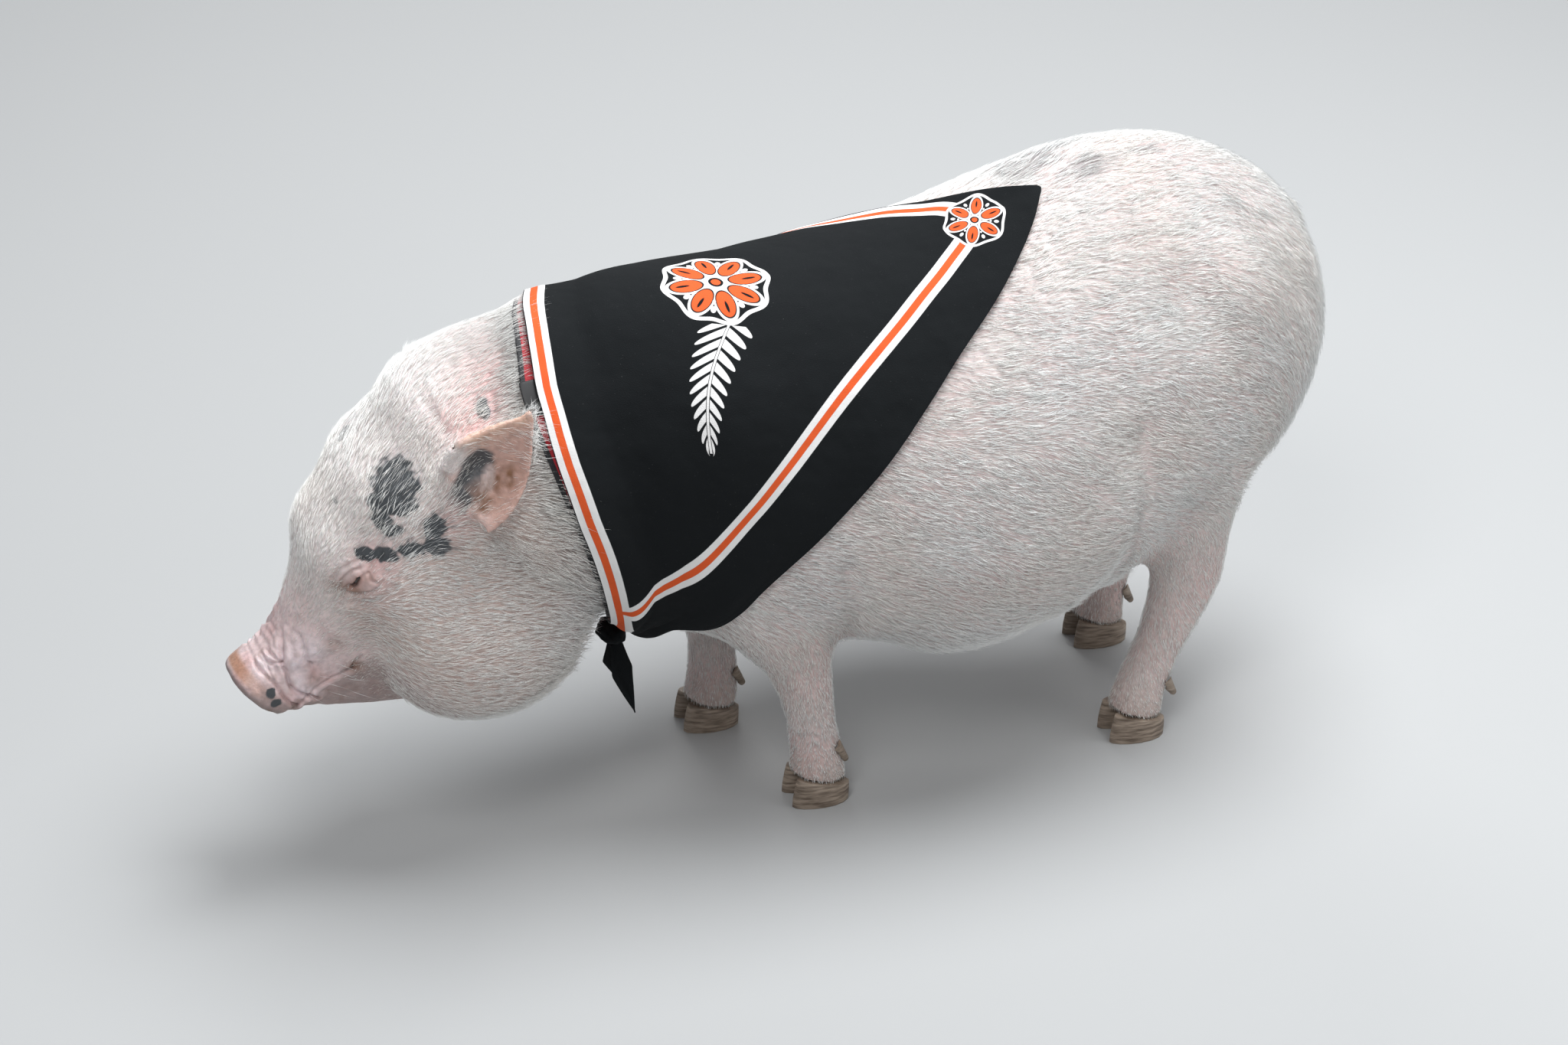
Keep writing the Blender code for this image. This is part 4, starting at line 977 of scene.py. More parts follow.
def gridFaces(rows, columns, closed):
    i, j = np.meshgrid(np.arange(rows if closed else rows - 1), np.arange(columns - 1), indexing="ij")
    n = (i + 1) % rows
    corners = [i * columns + j, n * columns + j, n * columns + j + 1, i * columns + j + 1]
    return np.stack(corners, -1).reshape(-1, 4)


def facingOut(obj):
    with editing(obj):
        bpy.ops.mesh.normals_make_consistent(inside=False)


def roundEdges(obj, width, segments, angle):
    limit = math.radians(angle)
    modify(obj, "BEVEL", width=width, segments=segments, limit_method="ANGLE", angle_limit=limit)


def thicken(obj, thick, bevel=0.0):
    modify(obj, "SOLIDIFY", thickness=thick, offset=1)
    if bevel:
        roundEdges(obj, bevel, 2, 50)
    shadeSmooth(obj, 50)


clothColours = {
    "black": (0.0062, 0.0075, 0.0085), "white": (0.74, 0.73, 0.72), "orange": (0.66, 0.098, 0.026),
    "lint": (0.2, 0.2, 0.2),
}
cottonFinish = {
    "roughness": 0.86, "gloss": 0.14, "lint": 700.0, "sharp": 0.00018,
    "weave": {"scale": 1400.0, "detail": 0.0, "depth": 0.0004, "strength": 0.5},
    "crumple": {"scale": 30.0, "detail": 2.0, "depth": 0.005, "strength": 0.6},
}
# the print: where the stripe behind runs, as angle and x, and the flowers and the sprig that fill the cloth
stripePath = [
    (-139, -0.17), (-116, -0.1256), (-86.7, -0.0672), (-57.3, 0.0023), (-34, 0.0756), (-22.5, 0.1148),
    (-11.5, 0.1475), (-2.7, 0.135), (3, 0.1165), (8.5, 0.0975), (14, 0.0765), (24, 0.042), (46, -0.026),
    (74, -0.084), (105, -0.125), (139, -0.166),
]
printShapes = {
    "arc": 0.148,  # metres round the neck for each radian
    "flowers": [
        {"turn": -10.5, "x": -0.067, "radius": 0.044, "petals": 8},
        {"turn": -11.0, "x": 0.149, "radius": 0.0245, "petals": 6},
    ],
    "sprig": {
        "from": (-27.5, -0.071), "to": (-69.0, -0.105), "width": 0.0225, "sway": -0.012, "leaflets": 11,
        "sweep": 0.85 * 1.6, "stem": 0.0009, "gap": 0.0014,
    },
    "stripe": {"half": 0.0082, "inner": 0.0028, "fromEdge": 0.009},
}
# a flower's parts as shares of its radius: how far out, half length and half width
flowerParts = {
    "petal": (0.55, 0.29, 0.155), "vein": (0.62, 0.13, 0.028), "bud": (0.68, 0.075, 0.05),
    "bead": (0.5, 0.035, 0.03),
}
printMaps = ("printAlong", "printAcross", "toFront", "toStripe")


class Sum:
    # a value in a material, worked out by math nodes
    def __init__(self, socket):
        self.socket = socket

    def __add__(self, other):
        return mathOf("ADD", self, other)

    def __sub__(self, other):
        return mathOf("SUBTRACT", self, other)

    def __rsub__(self, other):
        return mathOf("SUBTRACT", other, self)

    def __mul__(self, other):
        return mathOf("MULTIPLY", self, other)

    def __neg__(self):
        return self * -1.0

    def __abs__(self):
        return mathOf("ABSOLUTE", self)


def mathOf(operation, *values):
    tree = next(value.socket.id_data for value in values if isinstance(value, Sum))
    inputs = {k: value.socket if isinstance(value, Sum) else value for k, value in enumerate(values)}
    return Sum(addNode(tree, "Math", inputs, operation=operation).outputs[0])


def least(first, *others):
    for other in others:
        first = mathOf("MINIMUM", first, other)
    return first


def most(first, *others):
    for other in others:
        first = mathOf("MAXIMUM", first, other)
    return first


def awayFrom(a, b):
    return mathOf("SQRT", a * a + b * b)


def oval(a, b, reachA, reachB):
    # distance to an oval, below zero inside
    return (awayFrom(a * (1 / reachA), b * (1 / reachB)) - 1.0) * min(reachA, reachB)


def flowerPrint(a, b, radius, petals):
    # the white and the orange of a round flower, and its outside, as distances below zero inside
    away, angle = awayFrom(a, b), mathOf("ARCTAN2", b, a)
    part = 2 * math.pi / petals

    def shape(name, turned):
        # the same shape in each petal's part of the circle
        out, reachA, reachB = (radius * share for share in flowerParts[name])
        fold = mathOf("PINGPONG", turned, part / 2)
        u, v = away * mathOf("COSINE", fold), away * mathOf("SINE", fold)
        return oval(u - out, v, reachA, reachB)

    petal, vein = shape("petal", angle), shape("vein", angle)
    between = angle + part / 2
    bud, bead = shape("bud", between), shape("bead", between)
    scallops = mathOf("COSINE", angle * float(petals)) * (radius * 0.045)
    edge = away - (scallops + radius * 0.93)
    ring = abs(away - radius * 0.165) - radius * 0.032
    outline = abs(petal - radius * 0.038) - radius * 0.02
    rim = abs(edge) - radius * 0.04
    white = least(outline, rim, bud, bead, ring)
    orange = least(most(petal, -vein), away - radius * 0.085)
    return white, orange, edge - radius * 0.05


def sprigPrint(across, along, shape):
    # a bent stem with swept leaflets on both sides, which grow smaller to its tip
    first, last = (
        np.array((x, math.radians(turn) * printShapes["arc"])) for turn, x in (shape["from"], shape["to"])
    )
    run = last - first
    length = float(np.linalg.norm(run))
    wayA, wayB = (run / length).tolist()
    a, b = along - float(first[0]), across - float(first[1])
    t = (a * wayA + b * wayB) * (1 / length)
    off = a * -wayB + b * wayA - mathOf("SINE", t * math.pi) * shape["sway"]
    wide = mathOf("POWER", most(1.0 - t, 0.0), 0.62) * shape["width"]
    side = abs(off)
    share = mathOf("DIVIDE", side, wide + 0.0001)
    step = length / shape["leaflets"]
    swept = t * (length / step) - share * shape["sweep"]
    middle = abs(mathOf("FRACT", swept) - 0.5)
    body = mathOf("SQRT", most(1.0 - mathOf("POWER", share, 2.2), 0.0))
    leaf = (middle - body * 0.36) * (step * 0.75)
    within = most(side - wide, t * -length, (t - 1.0) * length)
    stem = most(side - shape["stem"], t * -length, (t - 0.97) * length)
    return least(most(leaf, within, shape["gap"] - side), stem)


def clothMaterial():
    made, tree, shader = newMaterial("black cotton", clothColours["black"], cottonFinish["roughness"])
    along, across, toFront, toStripe = (Sum(attributeOf(tree, name)) for name in printMaps)
    whites, oranges = [], []
    for flower in printShapes["flowers"]:
        off = across - math.radians(flower["turn"]) * printShapes["arc"]
        white, orange, flowerEdge = flowerPrint(along - flower["x"], off, flower["radius"], flower["petals"])
        whites.append(white)
        oranges.append(orange)
    whites.append(sprigPrint(across, along, printShapes["sprig"]))
    # the stripes stop at the last flower
    stripe = printShapes["stripe"]
    for away in (abs(toFront - stripe["fromEdge"]), toStripe):
        whites.append(most(away - stripe["half"], stripe["inner"] - away, -flowerEdge))
        oranges.append(most(away - stripe["inner"], -flowerEdge))
    colour, sharp = clothColours["black"], cottonFinish["sharp"]
    for name, shapes in (("white", whites), ("orange", oranges)):
        share = mapRange(tree, least(*shapes).socket, sharp, -sharp)
        colour = mixOf(tree, share, colour, clothColours[name])
    dust = mapRange(tree, noiseOf(tree, cottonFinish["lint"], 1.0), 0.74, 0.84, 0.0, 0.18)
    colour = mixOf(tree, dust, colour, clothColours["lint"])
    setInputs(shader, {"Base Color": colour, "Specular IOR Level": cottonFinish["gloss"]})
    grain(tree, shader, cottonFinish["crumple"], grain(tree, shader, cottonFinish["weave"]))
    return made


cottonMaterial = clothMaterial()


def through(rows, steps):
    # a smooth line through the rows
    rows = np.array(rows, float)
    ends = np.vstack([2 * rows[0] - rows[1], rows, 2 * rows[-1] - rows[-2]])
    made = []
    for k in range(1, len(ends) - 2):
        p0, p1, p2, p3 = ends[k - 1:k + 3]
        square, cube = 2 * p0 - 5 * p1 + 4 * p2 - p3, 3 * p1 - p0 - 3 * p2 + p3
        for t in np.arange(steps) / steps:
            made.append(0.5 * (2 * p1 + (p2 - p0) * t + square * t ** 2 + cube * t ** 3))
    made.append(rows[-1])
    return np.array(made)


def clothOff(turn, x):
    # how far the cloth stands off the skin: more over the collar and at the front edge
    overCollar = 1 - (np.abs(x - collarMiddle(turn)) - collarSize["width"] * 0.62) / clothSize["ease"]
    atFront = 1 - (x - frontEdge(turn)) / clothSize["ease"]
    lift = np.clip(np.maximum(overCollar, atFront), 0, 1)
    return skinSize["coatDepth"] + clothSize["off"] + clothSize["offFront"] * lift


def clothFolds(turn, share, fromFront, places):
    # long soft folds run up from the knot, shallow ones across the back, and some along the front edge
    towardKnot = ramp(np.abs(turn), 40, 150)
    folds = np.sin(turn * 0.045 + share * 9.0 + 1.3 * cloudy(places, 0.09, 41)) * (0.25 + 0.75 * towardKnot)
    folds += 0.5 * np.sin(share * 21.0 + turn * 0.03 + 1.5 * cloudy(places, 0.06, 42)) * towardKnot
    rumple = cloudy(places, 0.035, 43) * 0.5 + cloudy(places, 0.1, 44)
    along = np.sin(fromFront / 0.0115 + 0.9 * cloudy(places, 0.05, 45))
    along = along * ramp(np.abs(turn), 30, 100) * fade(fromFront, 0.05, 0.11)
    wave = clothSize["foldDepth"] * (0.5 * folds + 0.4 * rumple + 0.35 * along) * ramp(fromFront, 0.0, 0.02)
    return np.maximum(wave, -clothSize["off"] - clothSize["leastGap"])


def buildNeckerchief():
    edge = clothSize["front"][-1][0]
    turns = np.linspace(-edge, edge, clothSize["around"])
    turn, share = gridOver(turns, clothSize["along"])
    x = blend(frontEdge(turn), rearEdge(turn), share)
    places, out = ontoBody(turn, x)
    reach = rearEdge(turn) - frontEdge(turn)
    fromRear = (1 - share) * reach
    off = clothOff(turn, x) + clothFolds(turn, share, share * reach, places)
    # the hem is thicker, and the far edge and the tip lift a little
    hem = clothSize["hem"] * fade(fromRear, 0.0065, 0.008) * ramp(reach, 0.02, 0.05)
    nearRear = fade(fromRear, 0.0, 0.03)
    farLip = ramp(turn, -10, -4) * fade(turn, 40, 75) * nearRear
    tipLift = hump(turn + 9, 7) * nearRear * clothSize["tipLift"]
    points = places + out * (off + hem + clothSize["lipLift"] * farLip + tipLift)[:, None]
    cloth = meshFrom("neckerchief_cloth", points, gridFaces(len(turns), clothSize["along"], False))
    facingOut(cloth)
    modify(cloth, "SMOOTH", factor=0.5, iterations=3)
    arc = printShapes["arc"]
    flat = np.column_stack([np.radians(turn) * arc, x])
    frontPath = np.column_stack([np.radians(turns) * arc, frontEdge(turns)])[::6]
    stripeLine = [(math.radians(t) * arc, s) for t, s in through(stripePath, 6)]
    maps = (x, flat[:, 0], awayFromLine(flat, frontPath), awayFromLine(flat, stripeLine))
    for name, values in zip(printMaps, maps):
        setAttribute(cloth, name, values)
    thicken(cloth, clothSize["thick"])
    finishPiece(cloth, cottonMaterial, "cloth", "neckerchief")


buildNeckerchief()
print("neckerchief made")


def wrappedBand(name, turns, low, high, off, thick, rows, bevel):
    # a band round the neck, from low to high off the collar's middle line
    turn, share = gridOver(turns, rows)
    x = blend(collarMiddle(turn) + low, collarMiddle(turn) + high, share)
    places, out = ontoBody(turn, x)
    closed = turns[-1] - turns[0] > 350
    band = meshFrom(name, places + out * off, gridFaces(len(turns), rows, closed))
    facingOut(band)
    setAttribute(band, "across", share)
    thicken(band, thick, bevel)
    return band


webbingFinish = {
    "red": (0.4, 0.012, 0.022), "edge": (0.012, 0.012, 0.014), "edgeFrom": 0.27, "edgeTo": 0.29,
    "roughness": 0.62, "weave": {"scale": 1100.0, "detail": 0.0, "depth": 0.0005, "strength": 0.8},
}


def collarMaterial():
    made, tree, shader = newMaterial("red webbing", webbingFinish["red"], webbingFinish["roughness"])
    fromMiddle = abs(Sum(attributeOf(tree, "across")) - 0.5)
    share = mapRange(tree, fromMiddle.socket, webbingFinish["edgeFrom"], webbingFinish["edgeTo"])
    setInputs(shader, {"Base Color": mixOf(tree, share, webbingFinish["red"], webbingFinish["edge"])})
    grain(tree, shader, webbingFinish["weave"])
    return made


half = collarSize["width"] / 2
collarOff = skinSize["coatDepth"] + collarSize["off"]
slideOff = collarOff + collarSize["thick"] + 0.0002
collar = wrappedBand(
    "collar_band", np.linspace(-180, 180, 181)[:-1], -half, half, collarOff, collarSize["thick"], 9,
    collarSize["bevel"],
)
finishPiece(collar, collarMaterial(), "collar_strap", "collar")
slide = wrappedBand(
    "slide_block", np.linspace(*collarSize["slide"], 12), -half * 1.15, half * 0.1, slideOff,
    collarSize["slideThick"], 5, collarSize["slideBevel"],
)
finishPiece(slide, newMaterial("black slide", (0.006, 0.006, 0.007), 0.5)[0], "collar_slide", "collar_slide")
print("collar made")

knotSize = {"at": (-0.152, -0.004, 0.154), "reach": (0.0125, 0.018, 0.01), "twist": 3.0, "ridge": 0.0016}
tieSize = {
    "neckerchief_tie_left": [(-0.15, -0.01, 0.146), (-0.147, -0.016, 0.118), (-0.139, -0.022, 0.083)],
    "neckerchief_tie_right": [(-0.149, 0.0, 0.146), (-0.146, 0.012, 0.119), (-0.14, 0.018, 0.092)],
    "width": 0.0215, "thick": 0.0026, "crease": 0.0016, "around": 20,
}


def newBall(name, segments, rings):
    bpy.ops.object.select_all(action="DESELECT")
    bpy.ops.mesh.primitive_uv_sphere_add(segments=segments, ring_count=rings, radius=1)
    ball = bpy.context.object
    ball.name = name
    return ball


def finishPlainCloth(obj, nodeName):
    # plain black all over, as nothing is printed this far out
    for name in printMaps:
        setAttribute(obj, name, np.full(len(obj.data.vertices), 1.0))
    finishPiece(obj, cottonMaterial, "cloth", nodeName)


def buildKnot():
    knot = newBall("knot_cloth", 72, 40)
    points = pointsOf(knot)
    turn = np.arctan2(points[:, 2], points[:, 1])
    ridges = np.sin(knotSize["twist"] * turn + points[:, 0] * 3.5 + 1.2 * cloudy(points, 0.6, 51))
    creases = -np.abs(np.sin(2.5 * turn - points[:, 0] * 5.0)) ** 0.5
    swell = 0.55 * ridges + 0.5 * creases + 0.4 * cloudy(points, 0.35, 52)
    swell = knotSize["ridge"] * swell * (1 - np.abs(points[:, 2]) ** 4)
    at = np.array(knotSize["at"]) + animalMiddle
    putPoints(knot, points * np.array(knotSize["reach"]) * 0.96 + points * swell[:, None] + at)
    shadeSmooth(knot)
    finishPlainCloth(knot, "neckerchief_knot")


def buildTie(name):
    # a flat end that widens below the knot and runs out to a point
    line = through(tieSize[name], 14)
    around, last = tieSize["around"], len(line) - 1
    rows = []
    for k, place in enumerate(line):
        run = line[min(k + 1, last)] - line[max(k - 1, 0)]
        run /= np.linalg.norm(run)
        side = np.cross(np.cross((1, 0.35, 0), run), run)
        side /= np.linalg.norm(side)
        front = np.cross(run, side)
        share = k / last
        wide = tieSize["width"] / 2 * (0.62 + 0.9 * share if share < 0.45 else 1.85 * (1.001 - share))
        wide = max(wide, 0.0006)
        for j in range(around):
            a = 2 * math.pi * j / around
            u = math.cos(a)
            crease = tieSize["crease"] * math.sin(u * 4.2 + share * 3) * min(1, 3 * (1 - share))
            bulk = math.sin(a) * tieSize["thick"] / 2 * min(1, wide / 0.003)
            rows.append(place + side * u * wide + front * (bulk + crease))
    seam = [[i + around - 1, i + 2 * around - 1, i + around, i] for i in range(0, last * around, around)]
    faces = np.vstack([gridFaces(len(line), around, False), np.array(seam)])
    tie = meshFrom(name.replace("neckerchief_", "") + "_cloth", np.array(rows) + animalMiddle, faces)
    with editing(tie, "DESELECT"):
        bpy.ops.mesh.select_non_manifold()
        bpy.ops.mesh.fill_holes(sides=0)
    facingOut(tie)
    shadeSmooth(tie, 60)
    finishPlainCloth(tie, name)


buildKnot()
buildTie("neckerchief_tie_left")
buildTie("neckerchief_tie_right")
print("knot and ends made")

wetEye, _, eyeShader = newMaterial("wet eye", (0.016, 0.008, 0.005), 0.22)
setInputs(eyeShader, {"Coat Weight": 0.5, "Coat Roughness": 0.08})
for name in ("eye_left", "eye_right"):
    ball = newBall(name.replace("eye", "eyeball"), 48, 32)
    putPoints(ball, pointsOf(ball) * eyeSlit["eyeball"] + sum(boxOf(name)) / 2)
    shadeSmooth(ball)
    finishPiece(ball, wetEye, "eye", name)

hornFinish = {
    "colour": (0.3, 0.235, 0.18), "dark": (0.115, 0.082, 0.058, 1), "light": (0.4, 0.32, 0.25, 1),
    "streaks": (60, 60, 420), "relief": {"depth": 0.0009, "strength": 0.8}, "roughness": 0.48,
    "bevel": 0.0012,
}


def hornMaterial():
    made, tree, shader = newMaterial("horn", hornFinish["colour"], hornFinish["roughness"])
    stretch = addNode(tree, "Mapping", {"Vector": ownPlace(tree), "Scale": hornFinish["streaks"]})
    streaks = noiseOf(tree, 1.0, 4.0, stretch.outputs["Vector"])
    colours = addNode(tree, "ValToRGB", {"Fac": streaks})
    ends = colours.color_ramp.elements
    for end, position, colour in zip(ends, (0.3, 0.72), (hornFinish["dark"], hornFinish["light"])):
        end.position, end.color = position, colour
    setInputs(shader, {"Base Color": colours.outputs["Color"]})
    bumpFrom(tree, shader, streaks, hornFinish["relief"])
    return made


horn = hornMaterial()
for name in sorted(cadNodes):
    if "claw" in name:
        claw = ownCopy(name, name.replace("claw", "hoof"))
        roundEdges(claw, hornFinish["bevel"], 3, 45)
        shadeSmooth(claw, 45)
        finishPiece(claw, horn, "horn", name)
print("eyes and claws made")

# the coat: tufts to a square centimetre, and the length, width and lift of a tuft
coatSize = {
    "perPiece": 30000,
    "body": {"perCm": 21.0, "length": 0.02, "width": 0.00056, "lift": 0.12},
    "head": {"perCm": 31.0, "length": 0.0135, "width": 0.0004, "lift": 0.12},
    "face": {"perCm": 16.0, "length": 0.0055, "width": 0.00034, "lift": 0.16},
    "leg": {"perCm": 21.0, "length": 0.0105, "width": 0.00048, "lift": 0.12},
    "ear": {"perCm": 14.0, "length": 0.0065, "width": 0.0003, "lift": 0.12},
    "lengths": (0.65, 1.25),        # least and most, as shares
    "widths": (0.7, 1.2),
    "lifts": (0.5, 1.5),
    "bend": 0.16,
    "swirl": {"wide": 0.3, "fine": 0.28, "each": 0.2},
    "rootDepth": 0.0008,
    "patch": 0.003,      # size of a tuft on its map
    "underCloth": {"front": 0.004, "rear": 0.01, "turn": 171, "low": 0.13},
    "bareFoot": 0.02,
}
jowlEdge = [(-0.238, 0.095, 0.3), (-0.228, 0.085, 0.25), (-0.228, 0.065, 0.2), (-0.25, 0.04, 0.15)]


def hairLie(points, normals, ear):
    # the way that the hair lies at each root
    back, rise, side = headPlace(points)
    count = len(points)
    flank = np.clip(np.abs(normals[:, 1]), 0, 1)[:, None]
    way = np.array([1.0, 0, 0]) + np.array([0, 0, -1.0]) * 0.38 * flank
    cheek = (ramp(side, 0.03, 0.07) * fade(rise, -0.02, 0.05))[:, None]
    lining = insideEar(points, normals, ear)[:, None]
    overParts = [
        (ramp(points[:, 0], 0.3, 0.44) * ramp(points[:, 2], 0.2, 0.3), np.array([0.35, 0, -1.0])),
        (legShare(points), np.array([0.18, 0, -1.0])),
        (fade(points[:, 0], -0.3, -0.2), headBack * 1.0 + cheek * np.array([0.25, 0, -0.75])),
        (onTail(points), np.array([0, 0.1, -1.0])),
        (ear, blend(earLength(points), np.array([1.0, 0, -0.12]), lining)),
    ]
    for share, there in overParts:
        way = blend(way, there, share[:, None])
    turns = coatSize["swirl"]
    swirl = cloudy(points, 0.045, 61) * turns["wide"] + cloudy(points, 0.012, 62) * turns["fine"]
    way = way - normals * (way * normals).sum(axis=1)[:, None]
    way /= np.maximum(np.linalg.norm(way, axis=1), 1e-6)[:, None]
    swirl += dice.uniform(-turns["each"], turns["each"], count)
    return way * np.cos(swirl)[:, None] + np.cross(normals, way) * np.sin(swirl)[:, None]


def earLength(points):
    # from the base to the tip of the ear that a point is on
    left, right = np.array([0.04, -0.009, 0.0515]), np.array([0.036, 0.03, 0.028])
    return np.where(points[:, 1:2] < 0, left / np.linalg.norm(left), right / np.linalg.norm(right))


def aroundShare(points, y, otherMiddle, other):
    # how far round an upright or lengthwise tube, from 0 to 1
    return (np.arctan2(points[:, 1] - y, points[:, other] - otherMiddle) + math.pi) / (2 * math.pi)


def skinMap(points, ear, leg):
    # an unwrap of the skin: body and head as a tube, the legs and ears as tubes of their own
    u = 0.01 + 0.66 * (points[:, 0] + 0.48) / 0.96
    v = 0.01 + 0.98 * aroundShare(points, 0, 0.3, 2)
    for k, (x, y) in enumerate([(-0.03, -0.07), (-0.06, 0.07), (0.3, -0.075), (0.33, 0.075)]):
        mine = leg & (np.sign(points[:, 1]) == np.sign(y)) & ((points[:, 0] > 0.14) == (x > 0.14))
        u[mine] = 0.7 + 0.28 * points[mine, 2] / 0.3
        v[mine] = 0.01 + 0.18 * k + 0.165 * aroundShare(points[mine], y, x, 0)
    for k, name in enumerate(earNames):
        mine = ear & ((points[:, 1] < 0) == (name == "ear_left"))
        low, high = boxOf(name)
        middle = (low + high) / 2
        u[mine] = 0.7 + 0.13 * aroundShare(points[mine], middle[1], middle[0], 0) + 0.14 * k
        v[mine] = 0.76 + 0.22 * (points[mine, 2] - low[2]) / (high[2] - low[2])
    return np.clip(u, 0.003, 0.997), np.clip(v, 0.003, 0.997)


def scatterRoots(skin, density):
    points, normals, triangles = pointsOf(skin), normalsOf(skin), trianglesOf(skin)
    a, b, c = (points[triangles[:, k]] for k in range(3))
    area = np.linalg.norm(np.cross(b - a, c - a), axis=1) / 2
    wanted = area * density[triangles].mean(axis=1)
    counts = np.floor(wanted + dice.random(len(wanted))).astype(int)
    chosen = np.repeat(np.arange(len(triangles)), counts)
    first, second = dice.random(len(chosen)), dice.random(len(chosen))
    over = first + second > 1
    first[over], second[over] = 1 - first[over], 1 - second[over]
    weights = np.column_stack([1 - first - second, first, second])
    corner = triangles[chosen]
    roots = (points[corner] * weights[:, :, None]).sum(axis=1)
    out = (normals[corner] * weights[:, :, None]).sum(axis=1)
    return roots, out / np.linalg.norm(out, axis=1)[:, None], corner, weights


def underCloth(points):
    turn, x = aroundNeck(points)
    cover = coatSize["underCloth"]
    inside = (x > frontEdge(turn) + cover["front"]) & (x < rearEdge(turn) - cover["rear"])
    return inside & (np.abs(turn) < cover["turn"]) & (points[:, 2] > cover["low"])


def tuftMesh(name, roots, normals, ways, lengths, widths, lifts, tones, places):
    # each tuft is a slim spindle: its root, a ring of three, and its tip
    count = len(roots)
    side = np.cross(normals, ways)
    bend = dice.uniform(-coatSize["bend"], coatSize["bend"], count)[:, None]
    middle = roots + (ways + side * bend * 0.4) * (lengths * 0.42)[:, None]
    middle = middle + normals * (lengths * lifts * 0.75)[:, None]
    points = np.empty((count, 5, 3))
    points[:, 0] = roots - normals * coatSize["rootDepth"]
    for k, angle in enumerate((90, 210, 330)):
        a = math.radians(angle)
        ring = normals * math.sin(a) * 0.55 + side * math.cos(a)
        points[:, 1 + k] = middle + ring * (widths / 2)[:, None]
    points[:, 4] = roots + (ways + side * bend) * lengths[:, None] + normals * (lengths * lifts)[:, None]
    # order of corners keeps the faces outward
    faces = np.array([[0, 2, 1], [0, 3, 2], [0, 1, 3], [4, 1, 2], [4, 2, 3], [4, 3, 1]])
    base = (np.arange(count) * 5)[:, None, None]
    tufts = meshFrom(name, points.reshape(-1, 3), (base + faces[None]).reshape(-1, 3))
    setAttribute(tufts, "tone", np.repeat(tones, 5, axis=0))
    half = coatSize["patch"] / 2
    spread = np.array([(0, -half), (-half, 0), (0, half * 0.3), (half, 0), (0, half)])
    corners = np.stack(places, axis=1)[:, None, :] + spread[None]
    uv = tufts.data.uv_layers.new(name="OFBake")
    uv.data.foreach_set("uv", corners[:, faces.ravel()].astype(np.float32).ravel())
    tufts.data.polygons.foreach_set("use_smooth", np.ones(len(tufts.data.polygons), bool))
    finishPiece(tufts, hair, "haired_skin")


def coatOf(key, shares):
    # a size of the coat, blended over the parts of the animal
    value = coatSize["body"][key]
    for part, share in shares.items():
        value = blend(value, coatSize[part][key], share)
    return value


def earHollow(points):
    # 1 in the ears' hollows
    return np.clip(1.3 * earMarks(points, hollowPlaces), 0, 1)


# what changes the coat's density, length and lift at some places
coatChanges = {
    "thinBehindEye": 0.6, "thinOnPatches": 0.6, "thinInHollows": 0.97, "thinInEars": 0.55,
    "denseAtCollar": 3.4, "shortAtEye": 0.55, "shortAtFeet": 0.45, "longAtJowl": 0.2, "longOnCrest": 0.25,
    "longAtCollar": 0.8, "longAtTail": 1.1, "longInEars": 0.9, "jowlLift": 0.2, "crestLift": 0.06,
    "collarLift": 0.16,
}


def coatDensity(points, normals, earShare):
    # tufts to a square centimetre, with the fewest at the lids and in the ears
    back, rise, side = headPlace(points)
    nearFace = fade(back, 0.055, 0.105)
    shares = {"head": headShare(points), "leg": legShare(points), "face": nearFace, "ear": earShare}
    perCm = coatOf("perCm", shares)
    perCm *= np.where(side > eyePlace["side"], ramp(fromEye(back, rise), 0.009, 0.017), 1)
    perCm *= 1 - coatChanges["thinBehindEye"] * onFaceSide(back, rise, side, 0.16, 0.031, 0.015)
    perCm *= ramp(back, 0.05, 0.085)
    perCm *= 1 - coatChanges["thinOnPatches"] * greyShare(points)
    perCm *= 1 - coatChanges["thinInHollows"] * earHollow(points)
    perCm *= 1 - coatChanges["thinInEars"] * insideEar(points, normals, earShare)
    turn, x = aroundNeck(points)
    atCollar = hump(x - collarMiddle(turn) + 0.016, 0.009) * ramp(points[:, 2], 0.28, 0.36)
    perCm *= 1 + coatChanges["denseAtCollar"] * atCollar
    perCm[underCloth(points)] = 0
    perCm[points[:, 2] < coatSize["bareFoot"]] = 0
    return perCm


